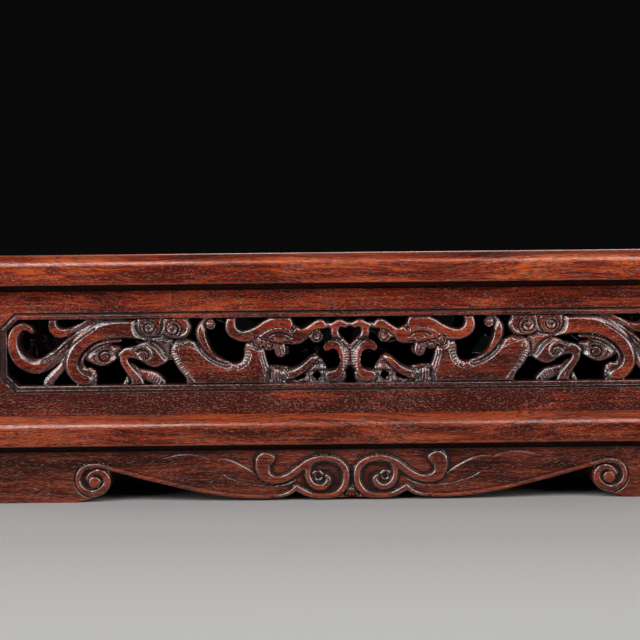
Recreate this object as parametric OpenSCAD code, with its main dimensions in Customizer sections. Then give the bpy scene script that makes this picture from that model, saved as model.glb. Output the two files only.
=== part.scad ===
// Hardwood display stand: a mitred and panelled top on a waist of four pierced, carved boards,
// a mitred base moulding, and four scrolled aprons that end in bracket feet.
// Millimetres, +Z up, +X along the length, origin on the floor below the middle of the top.

/* [Overall] */
// Length of the top
stand_len = 288; // [270:1:330]
// Depth of the top
stand_dep = 192; // [180:1:230]
// Distance from the top's edge in to the inner face that waist, moulding and apron share
wall_in = 16; // [15:0.5:19]

/* [Top frame and panel] */
// Height of the top frame
top_h = 11; // [10.5:0.5:14]
// Width of the frame's rails
rail_w = 30; // [29:1:36]
// Height of the frame's rounded upper edge
top_slope_h = 2.9; // [1.5:0.1:4]
// Depth of the frame's rounded upper edge
top_slope_d = 4; // [2:0.5:6]
// How far the frame's face leans in at its foot
top_lean = 0.6; // [0:0.1:1.5]
// Thickness of the floating panel
panel_t = 7; // [6:0.5:7.5]
// Thickness of the panel's tongue
panel_tongue_t = 3; // [2:0.5:3.5]
// Length of the panel's tongue
panel_tongue_l = 4; // [3:0.5:5]
// Distance between the two battens, centre to centre
batten_gap = 120; // [80:1:150]
// Width of a batten
batten_w = 16; // [14:1:24]
// Width of a batten's dovetail at its root
dovetail_w = 11; // [9:0.5:13]
// Height of a batten's dovetail
dovetail_h = 2.5; // [1.5:0.5:3]

/* [Waist boards] */
// Height of the waist between moulding and top
waist_h = 47.5; // [44:0.5:60]
// Setback of the waist's face from the top's edge
waist_inset = 7; // [5:0.5:8]
// Height of the shadow groove below the top
neck_h = 2.3; // [1:0.1:4]
// Depth of the shadow grooves under top and moulding
neck_d = 2; // [1:0.1:2.5]
// Height of the pierced opening
opening_h = 24; // [22:0.5:26]
// Height of the opening's lower edge above the moulding
opening_rise = 11; // [9:0.5:13]
// Distance from the waist's end to the opening
opening_margin = 12; // [10:0.5:16]
// Size of the opening's cut corners
corner_cut = 4; // [2:0.5:6]
// Width of the bead round the opening
bead_w = 1.8; // [1.2:0.1:2.4]
// Width of the groove outside the bead
bead_groove_w = 0.8; // [0.5:0.1:1.2]
// Depth of the groove outside the bead
bead_groove_d = 0.8; // [0.4:0.1:1.5]
// Radius that the gouge leaves in the carving's inner corners
gouge_r = 0.4; // [0.3:0.1:0.6]

/* [Base moulding] */
// Height of the base moulding
mould_h = 11; // [10:0.5:14]
// Setback of the moulding's face from the top's edge
mould_inset = 1.5; // [0:0.5:3]
// Height of the moulding's sloped upper edge
mould_slope_h = 2.6; // [1.5:0.1:4]

/* [Aprons and feet] */
// Height of the aprons
apron_h = 20.5; // [20:0.5:26]
// Setback of the aprons' face from the top's edge
apron_inset = 4.5; // [4:0.5:6]
// Height of the shadow groove below the moulding
apron_neck_h = 2; // [1:0.1:3]
// Length of a foot on the long sides, from the apron's end to the middle of its scroll
foot_long = 45.5; // [40:0.5:50]
// Length of a foot on the short sides
foot_short = 35; // [32:0.5:40]
// Radius of the scroll that ends a foot
scroll_r = 6; // [5:0.1:6.4]
// Height of the scroll's middle above the floor
scroll_z = 8.4; // [8:0.1:9]
// Gap between the apron's belly and the floor
belly_gap = 0.8; // [0.5:0.1:2]
// Width of the bead along the apron's lower edge
edge_bead_w = 1.5; // [1:0.1:2]
// How far the carved bead and scrolls stand out from the apron
relief = 1.2; // [0.6:0.1:2]

/* [Joinery] */
// Clearance on each face of a tongue, tenon or pin
fit_gap = 0.1; // [0.05:0.05:0.2]
// Thickness of the tongues that join waist, moulding, apron and top
tongue_t = 3; // [2.5:0.5:4]
// Height of those tongues
tongue_h = 2.8; // [2:0.1:3]
// Distance from the shared inner face to those tongues
tongue_back = 3; // [2:0.5:3]
// Thickness of the frame's corner tenons
tenon_t = 3.4; // [2.5:0.1:4]
// Width of the frame's corner tenons
tenon_w = 12; // [9:0.5:13]
// Distance from the top's edge to a corner tenon's side
tenon_in = 10; // [8:0.5:11]
// Wood left between a corner tenon's end and the outside
tenon_end = 6; // [4:0.5:8]
// Length of a batten's tenon
batten_tenon_l = 5; // [3:0.5:6]
// Height of a batten's tenon
batten_tenon_h = 2.4; // [1.5:0.1:2.8]
// Width of the splines in the waist's mitres
spline_w = 7; // [5:0.5:7.5]
// Thickness of those splines
spline_t = 2; // [1.5:0.1:2.5]
// Side of the square blocks inside the feet
block_w = 12; // [10:0.5:16]
// Height of the blocks' lower end above the floor
block_lift = 1.5; // [0.5:0.5:4]
// Diameter of the pins
pin_d = 2.6; // [2:0.1:3]
// Depth of the foot pins in the aprons
foot_pin_in = 6; // [4:0.5:8]

/* [Hidden] */
// Levels, from the floor up
mould_z0 = apron_h;
waist_z0 = mould_z0 + mould_h;
top_z0 = waist_z0 + waist_h;
top_z1 = top_z0 + top_h;
opening_z0 = waist_z0 + opening_rise;
panel_z0 = top_z1 - panel_t;
tenon_z0 = top_z0 + (top_h - tenon_t) / 2;
panel_tongue_z0 = panel_z0 + (panel_t - panel_tongue_t) / 2;
batten_tenon_z0 = top_z0 + (panel_z0 - top_z0 - batten_tenon_h) / 2;
batten_tenon_w = batten_w - 4;

// Distances in from the top's edge
tongue_in = wall_in - tongue_back - tongue_t;
block_mid = wall_in + block_w / 2;
spline_mid = (waist_inset + wall_in) / 2;
pin_set = 2.6;
tenon_pin_y = tenon_in + tenon_w - pin_set;
tenon_pin_x = tenon_pin_y - 1.35 * pin_set;

// Pins
pin_blind = 1;
tenon_pin_l = tenon_z0 - top_z0 + tenon_t + pin_blind;
foot_pin_l = block_w + foot_pin_in;
foot_pin_z_long = 7;
foot_pin_z_short = 13.5;

// Dovetail flare on each side and the wood left above it
dovetail_flare = 0.6 * dovetail_h;

// Drawing of the carved figure: half its length, half the short sides' length, and its height
figure_long = 125;
figure_short = 77;
figure_h = 24;

// Steps between two points of a curve, reach of cutters past a face, and a small overlap
steps = 3;
past = 1;
lap = 0.5;

dark_wood = "#5a2a1d";
red_wood = "#7a3a24";
pale_wood = "#b98a55";

// Curves

function blend(a, b, c, d, t) =
    (2 * b + (c - a) * t + (2 * a - 5 * b + 4 * c - d) * t * t + (3 * b - a - 3 * c + d) * t * t * t) / 2;

// Smooth open curve through the given points
function open_curve(p) =
    let (n = len(p), q = concat([2 * p[0] - p[1]], p, [2 * p[n - 1] - p[n - 2]]))
    concat([for (i = [0:n - 2]) for (j = [0:steps - 1]) blend(q[i], q[i + 1], q[i + 2], q[i + 3], j / steps)],
           [p[n - 1]]);

// Smooth closed curve through the given points
function closed_curve(p) =
    let (n = len(p))
    [for (i = [0:n - 1]) for (j = [0:steps - 1])
        blend(p[(i + n - 1) % n], p[i], p[(i + 1) % n], p[(i + 2) % n], j / steps)];

function flat(p) = [p.x, p.y];

function heading(c, i) =
    let (d = flat(c[min(i + 1, len(c) - 1)]) - flat(c[max(i - 1, 0)]))
    d / norm(d);

function left_of(t) = [-t.y, t.x];

// Outline of a brush stroke through points of [u, v, width], round at both ends
function stroke_outline(p) =
    let (c = open_curve(p), n = len(c) - 1)
    concat(
        [for (i = [0:n]) flat(c[i]) + left_of(heading(c, i)) * c[i].z / 2],
        [for (a = [30:30:150]) flat(c[n]) + (cos(a) * left_of(heading(c, n)) + sin(a) * heading(c, n)) * c[n].z / 2],
        [for (i = [n:-1:0]) flat(c[i]) - left_of(heading(c, i)) * c[i].z / 2],
        [for (a = [30:30:150]) flat(c[0]) - (cos(a) * left_of(heading(c, 0)) + sin(a) * heading(c, 0)) * c[0].z / 2]
    );

// Points of a quadratic and of a cubic curve, both ends included
function bow(a, b, c, n) =
    [for (i = [0:n]) let (t = i / n) (1 - t) * (1 - t) * a + 2 * t * (1 - t) * b + t * t * c];

function sweep4(a, b, c, d, n) =
    [for (i = [0:n]) let (t = i / n, s = 1 - t)
        s * s * s * a + 3 * s * s * t * b + 3 * s * t * t * c + t * t * t * d];

function arc(mid, r, a0, a1, n) =
    [for (i = [0:n]) let (a = a0 + (a1 - a0) * i / n) mid + r * [cos(a), sin(a)]];

module stroke(p) {
    polygon(stroke_outline(p));
}

module blob(p) {
    polygon(closed_curve(p));
}

module knob(u, v, r) {
    translate([u, v]) circle(r, $fn = 20);
}

// The carved figure, one half: u runs outward from the middle, v up from the opening's lower edge,
// and each point of a stroke carries the stroke's width

// Heart scroll in the middle, the scroll below it and the stem between the two halves
module middle_scrolls() {
    stroke([[-0.6, 22, 2.4], [1.4, 22, 3], [3.6, 22.2, 3.6], [5.6, 20.8, 3.6], [5.8, 18.2, 3.6],
            [4.6, 16, 3.4], [2.4, 14, 3.2], [0.2, 12, 3]]);
    stroke([[9.3, 12.6, 1.6], [8.6, 14, 2.8], [6.8, 14.6, 3.4], [4.4, 13.6, 3.6], [3, 11.4, 3.4],
            [2.6, 8.6, 3.6], [3, 5.8, 3.6], [4.4, 4.2, 4], [6.4, 3, 5.2], [8.8, 2.6, 4.4]]);
    stroke([[0, 13.6, 2.6], [0, 10.4, 2.6], [0, 7.2, 1.8]]);
}

// Dragon's head with its curled trunk, beard and mane
module dragon_head() {
    blob([[33.5, 14.2], [34.8, 17.5], [31.5, 21.5], [27.5, 24.2], [22.6, 24.6], [20.7, 22], [18.6, 20.4],
          [16.4, 19.2], [16, 16.8], [17.4, 14.8], [20.2, 14.2], [23.4, 14.4], [27, 14], [30, 13.6]]);
    stroke([[22, 16.6, 4.4], [19.2, 17, 5.2], [17, 18.8, 4.6], [14.4, 21, 4.2], [11.8, 22.4, 3.8], [9.8, 22.4, 3]]);
    knob(12.8, 18, 2.7);
    stroke([[28.6, 15.8, 3.6], [26.4, 14.6, 4.4], [25.5, 12.4, 4.4], [25.3, 11.4, 4.2]]);
    stroke([[25.2, 10.6, 2], [23.4, 11.2, 1.8], [23, 13, 1.2]]);
    stroke([[43, 24.4, 3.2], [43.6, 21.4, 4], [42.8, 19, 4.4], [40, 17.4, 4.2], [36.6, 17.6, 4.6],
            [33.2, 19, 4.8], [29.8, 21, 5], [26, 22, 5], [22.6, 21.8, 4.4]]);
    knob(33.4, 15.2, 1.9);
    knob(29.6, 13.7, 1.8);
}

// Foreleg that reaches to the middle, with its claws
module dragon_foreleg() {
    stroke([[30, 3.4, 7.6], [26.5, 3.8, 7], [23.4, 5, 4.6], [20, 5.2, 4], [17.2, 6, 3.4], [15.2, 8, 3.4],
            [13.6, 9.2, 2.8]]);
    stroke([[13.8, 9.2, 2.8], [12, 8.2, 2.8], [10.6, 6.2, 2.8], [9.8, 4, 2.6], [9.8, -0.8, 2.8]]);
    stroke([[15.8, 5.2, 2.6], [15.4, 2.2, 2.8], [15.4, -0.8, 3.4]]);
    stroke([[17, 5, 2.4], [14.4, 6.4, 3], [11.4, 6, 2.4]]);
}

// Breast and neck in one mass, with the wing that rises from its back
module dragon_breast() {
    blob([[58, -1], [60.4, 2.4], [63.6, 6.4], [65.4, 10.8], [64.6, 15], [61.2, 17], [56.2, 15.4], [50.2, 12],
          [45.6, 9.6], [42.2, 8.7], [40, 9], [39.1, 11], [39, 13.4], [37.5, 15.4], [34, 15], [31.4, 12.8],
          [30.6, 10], [30, 8], [28.8, 5], [28.6, 1], [32, -1.4], [45, -1.4]]);
    stroke([[50.6, 11.4, 3.4], [53, 14.6, 4.2], [54.3, 18, 4.2], [54, 20.6, 3.8], [52.6, 22.4, 3.2],
            [50.8, 22.8, 2.6]]);
    knob(50.6, 21.6, 1.9);
}

// Cloud curls above the shoulder
module cloud_near() {
    blob([[68.4, 21.5], [68.2, 18.6], [66, 17], [63, 16.6], [59.8, 17], [58, 19], [57.6, 21], [58.4, 23],
          [60, 24.8], [67, 24.8]]);
}

module cloud_far() {
    blob([[77.5, 21.5], [76.8, 19], [74.5, 17.4], [71.5, 17.4], [68.4, 18], [67.6, 20.5], [67.6, 22.5],
          [68, 24.8], [76.4, 24.8]]);
}

// Shoulder with the second foreleg and the ribbon that ties it to the breast
module dragon_shoulder() {
    blob([[84.8, 10.6], [82.5, 13.4], [79, 14], [76, 15.4], [73.2, 15.8], [70.4, 14.6], [68.2, 12.2],
          [66.2, 9.2], [68.2, 7.2], [71.2, 6.2], [74, 7], [76.6, 8.6], [79.6, 9.6], [81.5, 9.2]]);
    stroke([[82.2, 11.6, 3.8], [82.2, 8.8, 3.8], [80.8, 6, 3.6], [78.4, 4, 3.8], [75, 3, 4.4], [71.8, 2.4, 4.4],
            [69.6, 0.6, 3.4]]);
    stroke([[79.6, 3.6, 2.4], [81.2, 1.6, 2.2], [82.4, -0.8, 2.2]]);
    stroke([[73, 17.6, 3.4], [69.6, 16.6, 5], [66.6, 14.4, 5], [65.4, 10.4, 3]]);
}

// Haunch and hind leg with claw and spur, the hock curl, the fin and the hooked tail
module dragon_rear() {
    stroke([[75, 19.9, 7.4], [78, 20, 7], [84, 20.4, 6.8], [90, 20, 6.8], [95.2, 17.8, 6], [99.3, 14, 5.4],
            [101.4, 9.8, 5.2], [101.2, 5.8, 5.4], [98.6, 2.6, 5.2], [95.2, 1.8, 4.4]]);
    stroke([[97, 5.6, 1.6], [94.6, 4.8, 2.4], [94, 2.4, 2.4], [94.6, -0.8, 2.4]]);
    stroke([[103.4, 10.8, 1.2], [105.2, 6.8, 2], [108, 3.8, 2.8], [110, 1.2, 3], [110.4, -0.8, 3.2]]);
    blob([[96.8, 9.8], [95, 12.4], [92, 14.4], [89.5, 15.3], [86.5, 14.6], [83.5, 13.6], [84.5, 10.2],
          [86.5, 8.4], [89, 7], [92, 7], [94.7, 8]]);
    stroke([[108, 24.8, 2.6], [108, 21.8, 3.4], [106.8, 19.8, 4.2], [104.6, 19.2, 3.8], [101.5, 20, 2.8],
            [98, 21.6, 2], [95, 23.2, 2], [91, 24.6, 2.4]]);
    stroke([[116.6, 21, 1.6], [119.6, 21.2, 2.8], [122.5, 18.8, 4], [122.9, 14.2, 4.6], [120.8, 9.8, 5],
            [116.6, 7.3, 5.2], [112.2, 7.5, 5.4], [107.5, 10.4, 5], [103.4, 14, 4.6], [99.5, 17.5, 4.4],
            [94.5, 20.6, 4.4], [88, 21.6, 4]]);
}

// Short curled tail that ends the dragon on the short sides
module short_tail() {
    stroke([[60.4, 2, 5], [65, 1.4, 5], [69.5, 2.4, 4.6], [73.4, 5.4, 5], [75, 10, 5], [73.4, 14, 4.6],
            [70, 15.2, 3.6], [68.2, 12.8, 2.8], [69.2, 10.6, 2.2]]);
    stroke([[66.4, 18.2, 3], [69.8, 20.4, 3], [73, 22, 3.4], [76, 24.8, 3.4]]);
    stroke([[63.6, 12, 4], [65.8, 14.8, 4.4], [65.4, 18, 4]]);
}

module long_figure() {
    middle_scrolls();
    dragon_head();
    dragon_foreleg();
    dragon_breast();
    cloud_near();
    cloud_far();
    dragon_shoulder();
    dragon_rear();
}

module short_figure() {
    middle_scrolls();
    dragon_head();
    dragon_foreleg();
    dragon_breast();
    cloud_near();
    short_tail();
}

// Sides of the stand: 0 front, 1 right, 2 rear, 3 left, each drawn as the front and turned into place

function side_half(k) = (k % 2 == 0 ? stand_len : stand_dep) / 2;
function side_out(k) = (k % 2 == 0 ? stand_dep : stand_len) / 2;

module on_side(k) {
    rotate([0, 0, 90 * k]) children();
}

// A moulded strip along side k, drawn from its profile of [distance in, height], mitred at both ends
module mitred_strip(k, width, z0, z1, profile) {
    half = side_half(k);
    out = side_out(k);
    intersection() {
        translate([-half, -out, 0]) rotate([90, 0, 90]) linear_extrude(2 * half) polygon(profile);
        translate([0, 0, z0 - past]) linear_extrude(z1 - z0 + 2 * past)
            polygon([[-half, -out], [half, -out], [half - width - past, -out + width + past],
                     [-half + width + past, -out + width + past]]);
    }
}

// What a mitre takes off both ends of a board on side k
module mitre_cuts(k, z0, z1) {
    half = side_half(k);
    out = side_out(k);
    reach = wall_in + past;
    for (s = [-1, 1])
        translate([0, 0, z0 - past]) linear_extrude(z1 - z0 + 2 * past)
            polygon([[s * (half + past), -out - past], [s * (half + past), -out + reach],
                     [s * (half - reach), -out + reach]]);
}

// Upright slab on side k, from distance d0 to distance d1 in from the top's edge, cut to a face drawn as [x, z]
module upright(k, d0, d1) {
    translate([0, -side_out(k) + d1, 0]) rotate([90, 0, 0]) linear_extrude(d1 - d0) children();
}

// Bar along side k with a rectangular section
module bar(k, d0, d1, z0, z1) {
    half = side_half(k);
    translate([-half - past, -side_out(k) + d0, z0]) cube([2 * (half + past), d1 - d0, z1 - z0]);
}

// Joints shared by the pieces that meet in them, grown by a clearance where they are cut

module corner_tenon(sx, sy, gap) {
    x0 = stand_len / 2 - tenon_in - tenon_w - past;
    x1 = stand_len / 2 - tenon_end;
    y0 = stand_dep / 2 - tenon_in - tenon_w;
    translate([sx * (x0 + x1) / 2, sy * (y0 + tenon_w / 2), tenon_z0 + tenon_t / 2])
        cube([x1 - x0 + 2 * gap, tenon_w + 2 * gap, tenon_t + 2 * gap], center = true);
}

module tenon_pin(sx, sy, gap) {
    translate([sx * (stand_len / 2 - tenon_pin_x), sy * (stand_dep / 2 - tenon_pin_y), top_z0])
        cylinder(d = pin_d + 2 * gap, h = tenon_pin_l + gap, $fn = 32);
}

module batten_tenon(sx, sy, gap) {
    translate([sx * batten_gap / 2, sy * (stand_dep / 2 - rail_w), batten_tenon_z0 + batten_tenon_h / 2])
        cube([batten_tenon_w + 2 * gap, 2 * (batten_tenon_l + gap), batten_tenon_h + 2 * gap], center = true);
}

module waist_spline(sx, sy, gap) {
    z0 = waist_z0 + tongue_h;
    z1 = top_z0 - neck_h - tongue_h;
    translate([sx * (stand_len / 2 - spline_mid), sy * (stand_dep / 2 - spline_mid), (z0 + z1) / 2])
        rotate([0, 0, sx * sy * 45])
            cube([spline_t + 2 * gap, spline_w + 2 * gap, z1 - z0 + 2 * gap], center = true);
}

module foot_pin_pair(sx, sy, gap) {
    inner = wall_in + block_w;
    translate([sx * (stand_len / 2 - block_mid), sy * (stand_dep / 2 - inner), foot_pin_z_long])
        rotate([-sy * 90, 0, 0]) cylinder(d = pin_d + 2 * gap, h = foot_pin_l + gap, $fn = 32);
    translate([sx * (stand_len / 2 - inner), sy * (stand_dep / 2 - block_mid), foot_pin_z_short])
        rotate([0, sx * 90, 0]) cylinder(d = pin_d + 2 * gap, h = foot_pin_l + gap, $fn = 32);
}

module at_corners() {
    for ($sx = [-1, 1])
        for ($sy = [-1, 1])
            children();
}

// Top frame

function rail_profile() =
    let (groove0 = tongue_in - fit_gap, groove1 = tongue_in + tongue_t + fit_gap,
         groove_z = top_z0 + tongue_h + fit_gap,
         slot0 = panel_tongue_z0 - fit_gap, slot1 = panel_tongue_z0 + panel_tongue_t + fit_gap,
         slot_d = rail_w - panel_tongue_l - fit_gap)
    concat(
        [[top_lean, top_z0], [groove0, top_z0], [groove0, groove_z], [groove1, groove_z], [groove1, top_z0],
         [rail_w, top_z0], [rail_w, slot0], [slot_d, slot0], [slot_d, slot1], [rail_w, slot1], [rail_w, top_z1]],
        bow([top_slope_d, top_z1], [top_slope_d * 0.3, top_z1 - top_slope_h * 0.2], [0, top_z1 - top_slope_h], 6)
    );

module long_rail(k, sy) {
    color(red_wood) difference() {
        union() {
            on_side(k) mitred_strip(k, rail_w, top_z0, top_z1, rail_profile());
            for (sx = [-1, 1]) corner_tenon(sx, sy, 0);
        }
        for (sx = [-1, 1]) tenon_pin(sx, sy, fit_gap);
        for (sx = [-1, 1]) batten_tenon(sx, sy, fit_gap);
    }
}

module end_rail(k, sx) {
    color(red_wood) difference() {
        on_side(k) mitred_strip(k, rail_w, top_z0, top_z1, rail_profile());
        for (sy = [-1, 1]) corner_tenon(sx, sy, fit_gap);
        for (sy = [-1, 1]) tenon_pin(sx, sy, fit_gap);
    }
}

module top_front_rail() {
    long_rail(0, -1);
}

module top_rear_rail() {
    long_rail(2, 1);
}

module top_left_end() {
    end_rail(3, -1);
}

module top_right_end() {
    end_rail(1, 1);
}

// Section of a batten's dovetail, or of its slot when grown by a clearance
module dovetail_section(gap) {
    root = dovetail_w / 2 + gap;
    head = root + dovetail_flare;
    polygon([[-root, panel_z0 - lap], [root, panel_z0 - lap], [root, panel_z0],
             [head, panel_z0 + dovetail_h + gap], [-head, panel_z0 + dovetail_h + gap], [-root, panel_z0]]);
}

module top_panel() {
    len_x = stand_len - 2 * rail_w - 2 * fit_gap;
    len_y = stand_dep - 2 * rail_w - 2 * fit_gap;
    color(red_wood) difference() {
        union() {
            translate([-len_x / 2, -len_y / 2, panel_z0]) cube([len_x, len_y, panel_t]);
            translate([-len_x / 2 - panel_tongue_l, -len_y / 2 - panel_tongue_l, panel_tongue_z0])
                cube([len_x + 2 * panel_tongue_l, len_y + 2 * panel_tongue_l, panel_tongue_t]);
        }
        for (sx = [-1, 1])
            translate([sx * batten_gap / 2, len_y / 2 + past, 0]) rotate([90, 0, 0])
                linear_extrude(len_y + 2 * past) dovetail_section(fit_gap);
    }
}

module batten(sx) {
    len_y = stand_dep - 2 * rail_w;
    color(dark_wood) union() {
        translate([sx * batten_gap / 2 - batten_w / 2, -len_y / 2, top_z0])
            cube([batten_w, len_y, panel_z0 - top_z0]);
        translate([sx * batten_gap / 2, len_y / 2 - fit_gap, 0]) rotate([90, 0, 0])
            linear_extrude(len_y - 2 * fit_gap) dovetail_section(0);
        for (sy = [-1, 1]) batten_tenon(sx, sy, 0);
    }
}

module batten_left() {
    batten(-1);
}

module batten_right() {
    batten(1);
}

// Waist

function opening_half(k) = side_half(k) - waist_inset - opening_margin;

// Cut-cornered opening of side k, grown on all sides
module opening_shape(k, grow) {
    w = opening_half(k) + grow;
    z0 = opening_z0 - grow;
    z1 = opening_z0 + opening_h + grow;
    cut = corner_cut + grow * (2 - sqrt(2));
    polygon([[-w + cut, z0], [w - cut, z0], [w, z0 + cut], [w, z1 - cut],
             [w - cut, z1], [-w + cut, z1], [-w, z1 - cut], [-w, z0 + cut]]);
}

// Both halves of the carved figure, stretched to fill the opening of side k
module fitted_figure(k) {
    drawn = k % 2 == 0 ? figure_long : figure_short;
    translate([0, opening_z0])
        scale([opening_half(k) / drawn, opening_h / figure_h])
            for (m = [0, 1]) mirror([m, 0])
                if (k % 2 == 0) long_figure();
                else short_figure();
}

// Face of a waist board: the board round the opening and the pierced carving in it
module waist_face(k) {
    half = side_half(k);
    offset(r = -gouge_r, $fn = 8) offset(delta = gouge_r) union() {
        difference() {
            translate([-half, waist_z0 - tongue_h]) square([2 * half, waist_h + 2 * tongue_h]);
            opening_shape(k, 0);
        }
        intersection() {
            opening_shape(k, lap);
            fitted_figure(k);
        }
    }
}

module waist_board(k) {
    color(dark_wood) difference() {
        upright(k, waist_inset, wall_in) waist_face(k);
        mitre_cuts(k, waist_z0 - tongue_h, top_z0 + tongue_h);
        bar(k, waist_inset - past, tongue_in, waist_z0 - tongue_h - past, waist_z0);
        bar(k, tongue_in + tongue_t, wall_in + past, waist_z0 - tongue_h - past, waist_z0);
        bar(k, waist_inset - past, waist_inset + neck_d, top_z0 - neck_h, top_z0 + tongue_h + past);
        bar(k, waist_inset - past, tongue_in, top_z0, top_z0 + tongue_h + past);
        bar(k, tongue_in + tongue_t, wall_in + past, top_z0, top_z0 + tongue_h + past);
        upright(k, waist_inset - past, waist_inset + bead_groove_d) difference() {
            opening_shape(k, bead_w + bead_groove_w);
            opening_shape(k, bead_w);
        }
        on_side(-k) at_corners() waist_spline($sx, $sy, fit_gap);
    }
}

module waist_front() {
    on_side(0) waist_board(0);
}

module waist_right() {
    on_side(1) waist_board(1);
}

module waist_rear() {
    on_side(2) waist_board(2);
}

module waist_left() {
    on_side(3) waist_board(3);
}

module waist_splines() {
    color(pale_wood) at_corners() waist_spline($sx, $sy, 0);
}

// Base moulding

function mould_profile() =
    let (g0 = tongue_in - fit_gap, g1 = tongue_in + tongue_t + fit_gap, deep = tongue_h + fit_gap,
         slope_z = waist_z0 - mould_slope_h)
    concat(
        [[mould_inset, mould_z0], [g0, mould_z0], [g0, mould_z0 + deep], [g1, mould_z0 + deep], [g1, mould_z0],
         [wall_in, mould_z0], [wall_in, waist_z0], [g1, waist_z0], [g1, waist_z0 - deep], [g0, waist_z0 - deep],
         [g0, waist_z0]],
        bow([waist_inset, waist_z0], [(mould_inset + waist_inset) / 2, waist_z0 - mould_slope_h * 0.35],
            [mould_inset, slope_z], 6)
    );

module moulding(k) {
    color(red_wood) on_side(k) mitred_strip(k, wall_in, mould_z0, waist_z0, mould_profile());
}

module moulding_front() {
    moulding(0);
}

module moulding_right() {
    moulding(1);
}

module moulding_rear() {
    moulding(2);
}

module moulding_left() {
    moulding(3);
}

// Aprons

function scroll_u(k) = side_half(k) - apron_inset - (k % 2 == 0 ? foot_long : foot_short);

// Lower edge of one half of an apron, from the foot's toe over the scroll and the arch to the middle
function apron_edge(k) =
    let (u = scroll_u(k), mid = [u, scroll_z], cusp_u = 20.4, belly_u = 33,
         low = arc(mid, scroll_r, 238, 150, 7),
         start = low[7] + [-0.2, 0.4],
         span = start.x - belly_u)
    concat(
        bow([u + 7, 0], [u + 1, 2.6], low[0], 5),
        low,
        sweep4(start, [start.x - span * 0.34, start.y * 0.58], [start.x - span * 0.68, belly_gap],
               [belly_u, belly_gap], 9),
        bow([belly_u - 1, belly_gap], [cusp_u + 3, belly_gap], [cusp_u, 3.4], 4),
        bow([cusp_u - 0.6, 3], [cusp_u - 4.4, belly_gap], [10, belly_gap], 4),
        [[6, belly_gap + 0.4], [0, belly_gap + 0.4]]
    );

module apron_shape(k, top) {
    half = side_half(k);
    edge = apron_edge(k);
    n = len(edge);
    polygon(concat(
        [[half, 0]], edge, [for (i = [n - 2:-1:0]) [-edge[i].x, edge[i].y]],
        [[-half, 0], [-half, top], [half, top]]
    ));
}

// Scroll of a foot: a band that winds in from the apron's edge round the foot's rolled end
function foot_scroll(k) =
    let (u = scroll_u(k), turns = 1.55, n = 14)
    concat([[u - 8, scroll_z + 4.2, edge_bead_w], [u - 4, scroll_z + 5.2, edge_bead_w]],
        [for (i = [0:n]) let (t = i / n, a = 90 - 360 * turns * t, r = scroll_r * (0.98 - 0.72 * t))
            [u + 0.4 + r * cos(a), scroll_z + r * sin(a), edge_bead_w * (1.2 - 0.3 * t)]]);

module apron_scrolls(k) {
    for (m = [0, 1]) mirror([m, 0]) {
        stroke(foot_scroll(k));
        stroke([[31.6, 16.6, 3.4], [32.4, 14, 4.4], [32, 11, 4.2], [30, 8.8, 3.4], [26.5, 8, 2.8], [22.5, 9.3, 2.8],
                [18.5, 11.8, 2.6], [15, 14.3, 2.2], [10.5, 15.4, 2], [6, 14.2, 2], [3.4, 11, 2], [3, 7, 2],
                [5, 3.4, 2], [9, 2, 1.8], [14, 2.4, 1.8], [18, 4, 1.6], [20.3, 5.6, 1.4]]);
        stroke([[17.4, 12.4, 2], [17, 9.5, 2], [15, 7, 2], [12, 5.6, 2], [9.8, 6.4, 2], [9.6, 8.4, 2], [11.6, 9.2, 1.6]]);
    }
}

// Bead that follows the lower edge between the feet
module apron_edge_bead(k) {
    bead_end = scroll_u(k) - scroll_r;
    intersection() {
        translate([-bead_end, 0]) square([2 * bead_end, apron_h - apron_neck_h]);
        difference() {
            apron_shape(k, 2 * apron_h);
            offset(delta = -edge_bead_w) apron_shape(k, 2 * apron_h);
        }
    }
}

module apron_board(k) {
    color(dark_wood) difference() {
        union() {
            upright(k, apron_inset, wall_in) apron_shape(k, apron_h + tongue_h);
            upright(k, apron_inset - relief, apron_inset + lap)
                offset(r = -gouge_r / 2, $fn = 8) offset(delta = gouge_r / 2) {
                    apron_edge_bead(k);
                    intersection() {
                        apron_shape(k, apron_h - apron_neck_h);
                        apron_scrolls(k);
                    }
                }
        }
        mitre_cuts(k, 0, apron_h + tongue_h);
        bar(k, apron_inset - relief - past, apron_inset + neck_d, apron_h - apron_neck_h, apron_h + tongue_h + past);
        bar(k, apron_inset - past, tongue_in, apron_h, apron_h + tongue_h + past);
        bar(k, tongue_in + tongue_t, wall_in + past, apron_h, apron_h + tongue_h + past);
        on_side(-k) at_corners() foot_pin_pair($sx, $sy, fit_gap);
    }
}

module apron_front() {
    on_side(0) apron_board(0);
}

module apron_right() {
    on_side(1) apron_board(1);
}

module apron_rear() {
    on_side(2) apron_board(2);
}

module apron_left() {
    on_side(3) apron_board(3);
}

// Blocks inside the feet, and all pins

module foot_block(sx, sy) {
    z1 = waist_z0;
    color(dark_wood) difference() {
        translate([sx * (stand_len / 2 - block_mid), sy * (stand_dep / 2 - block_mid), (block_lift + z1) / 2])
            cube([block_w, block_w, z1 - block_lift], center = true);
        foot_pin_pair(sx, sy, fit_gap);
    }
}

module foot_block_front_left() {
    foot_block(-1, -1);
}

module foot_block_front_right() {
    foot_block(1, -1);
}

module foot_block_rear_left() {
    foot_block(-1, 1);
}

module foot_block_rear_right() {
    foot_block(1, 1);
}

module tenon_pins() {
    color(pale_wood) at_corners() tenon_pin($sx, $sy, 0);
}

module foot_pins() {
    color(pale_wood) at_corners() foot_pin_pair($sx, $sy, 0);
}

top_front_rail();
top_rear_rail();
top_left_end();
top_right_end();
top_panel();
batten_left();
batten_right();
waist_front();
waist_rear();
waist_left();
waist_right();
waist_splines();
moulding_front();
moulding_rear();
moulding_left();
moulding_right();
apron_front();
apron_rear();
apron_left();
apron_right();
foot_block_front_left();
foot_block_front_right();
foot_block_rear_left();
foot_block_rear_right();
tenon_pins();
foot_pins();
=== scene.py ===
from math import radians

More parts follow.
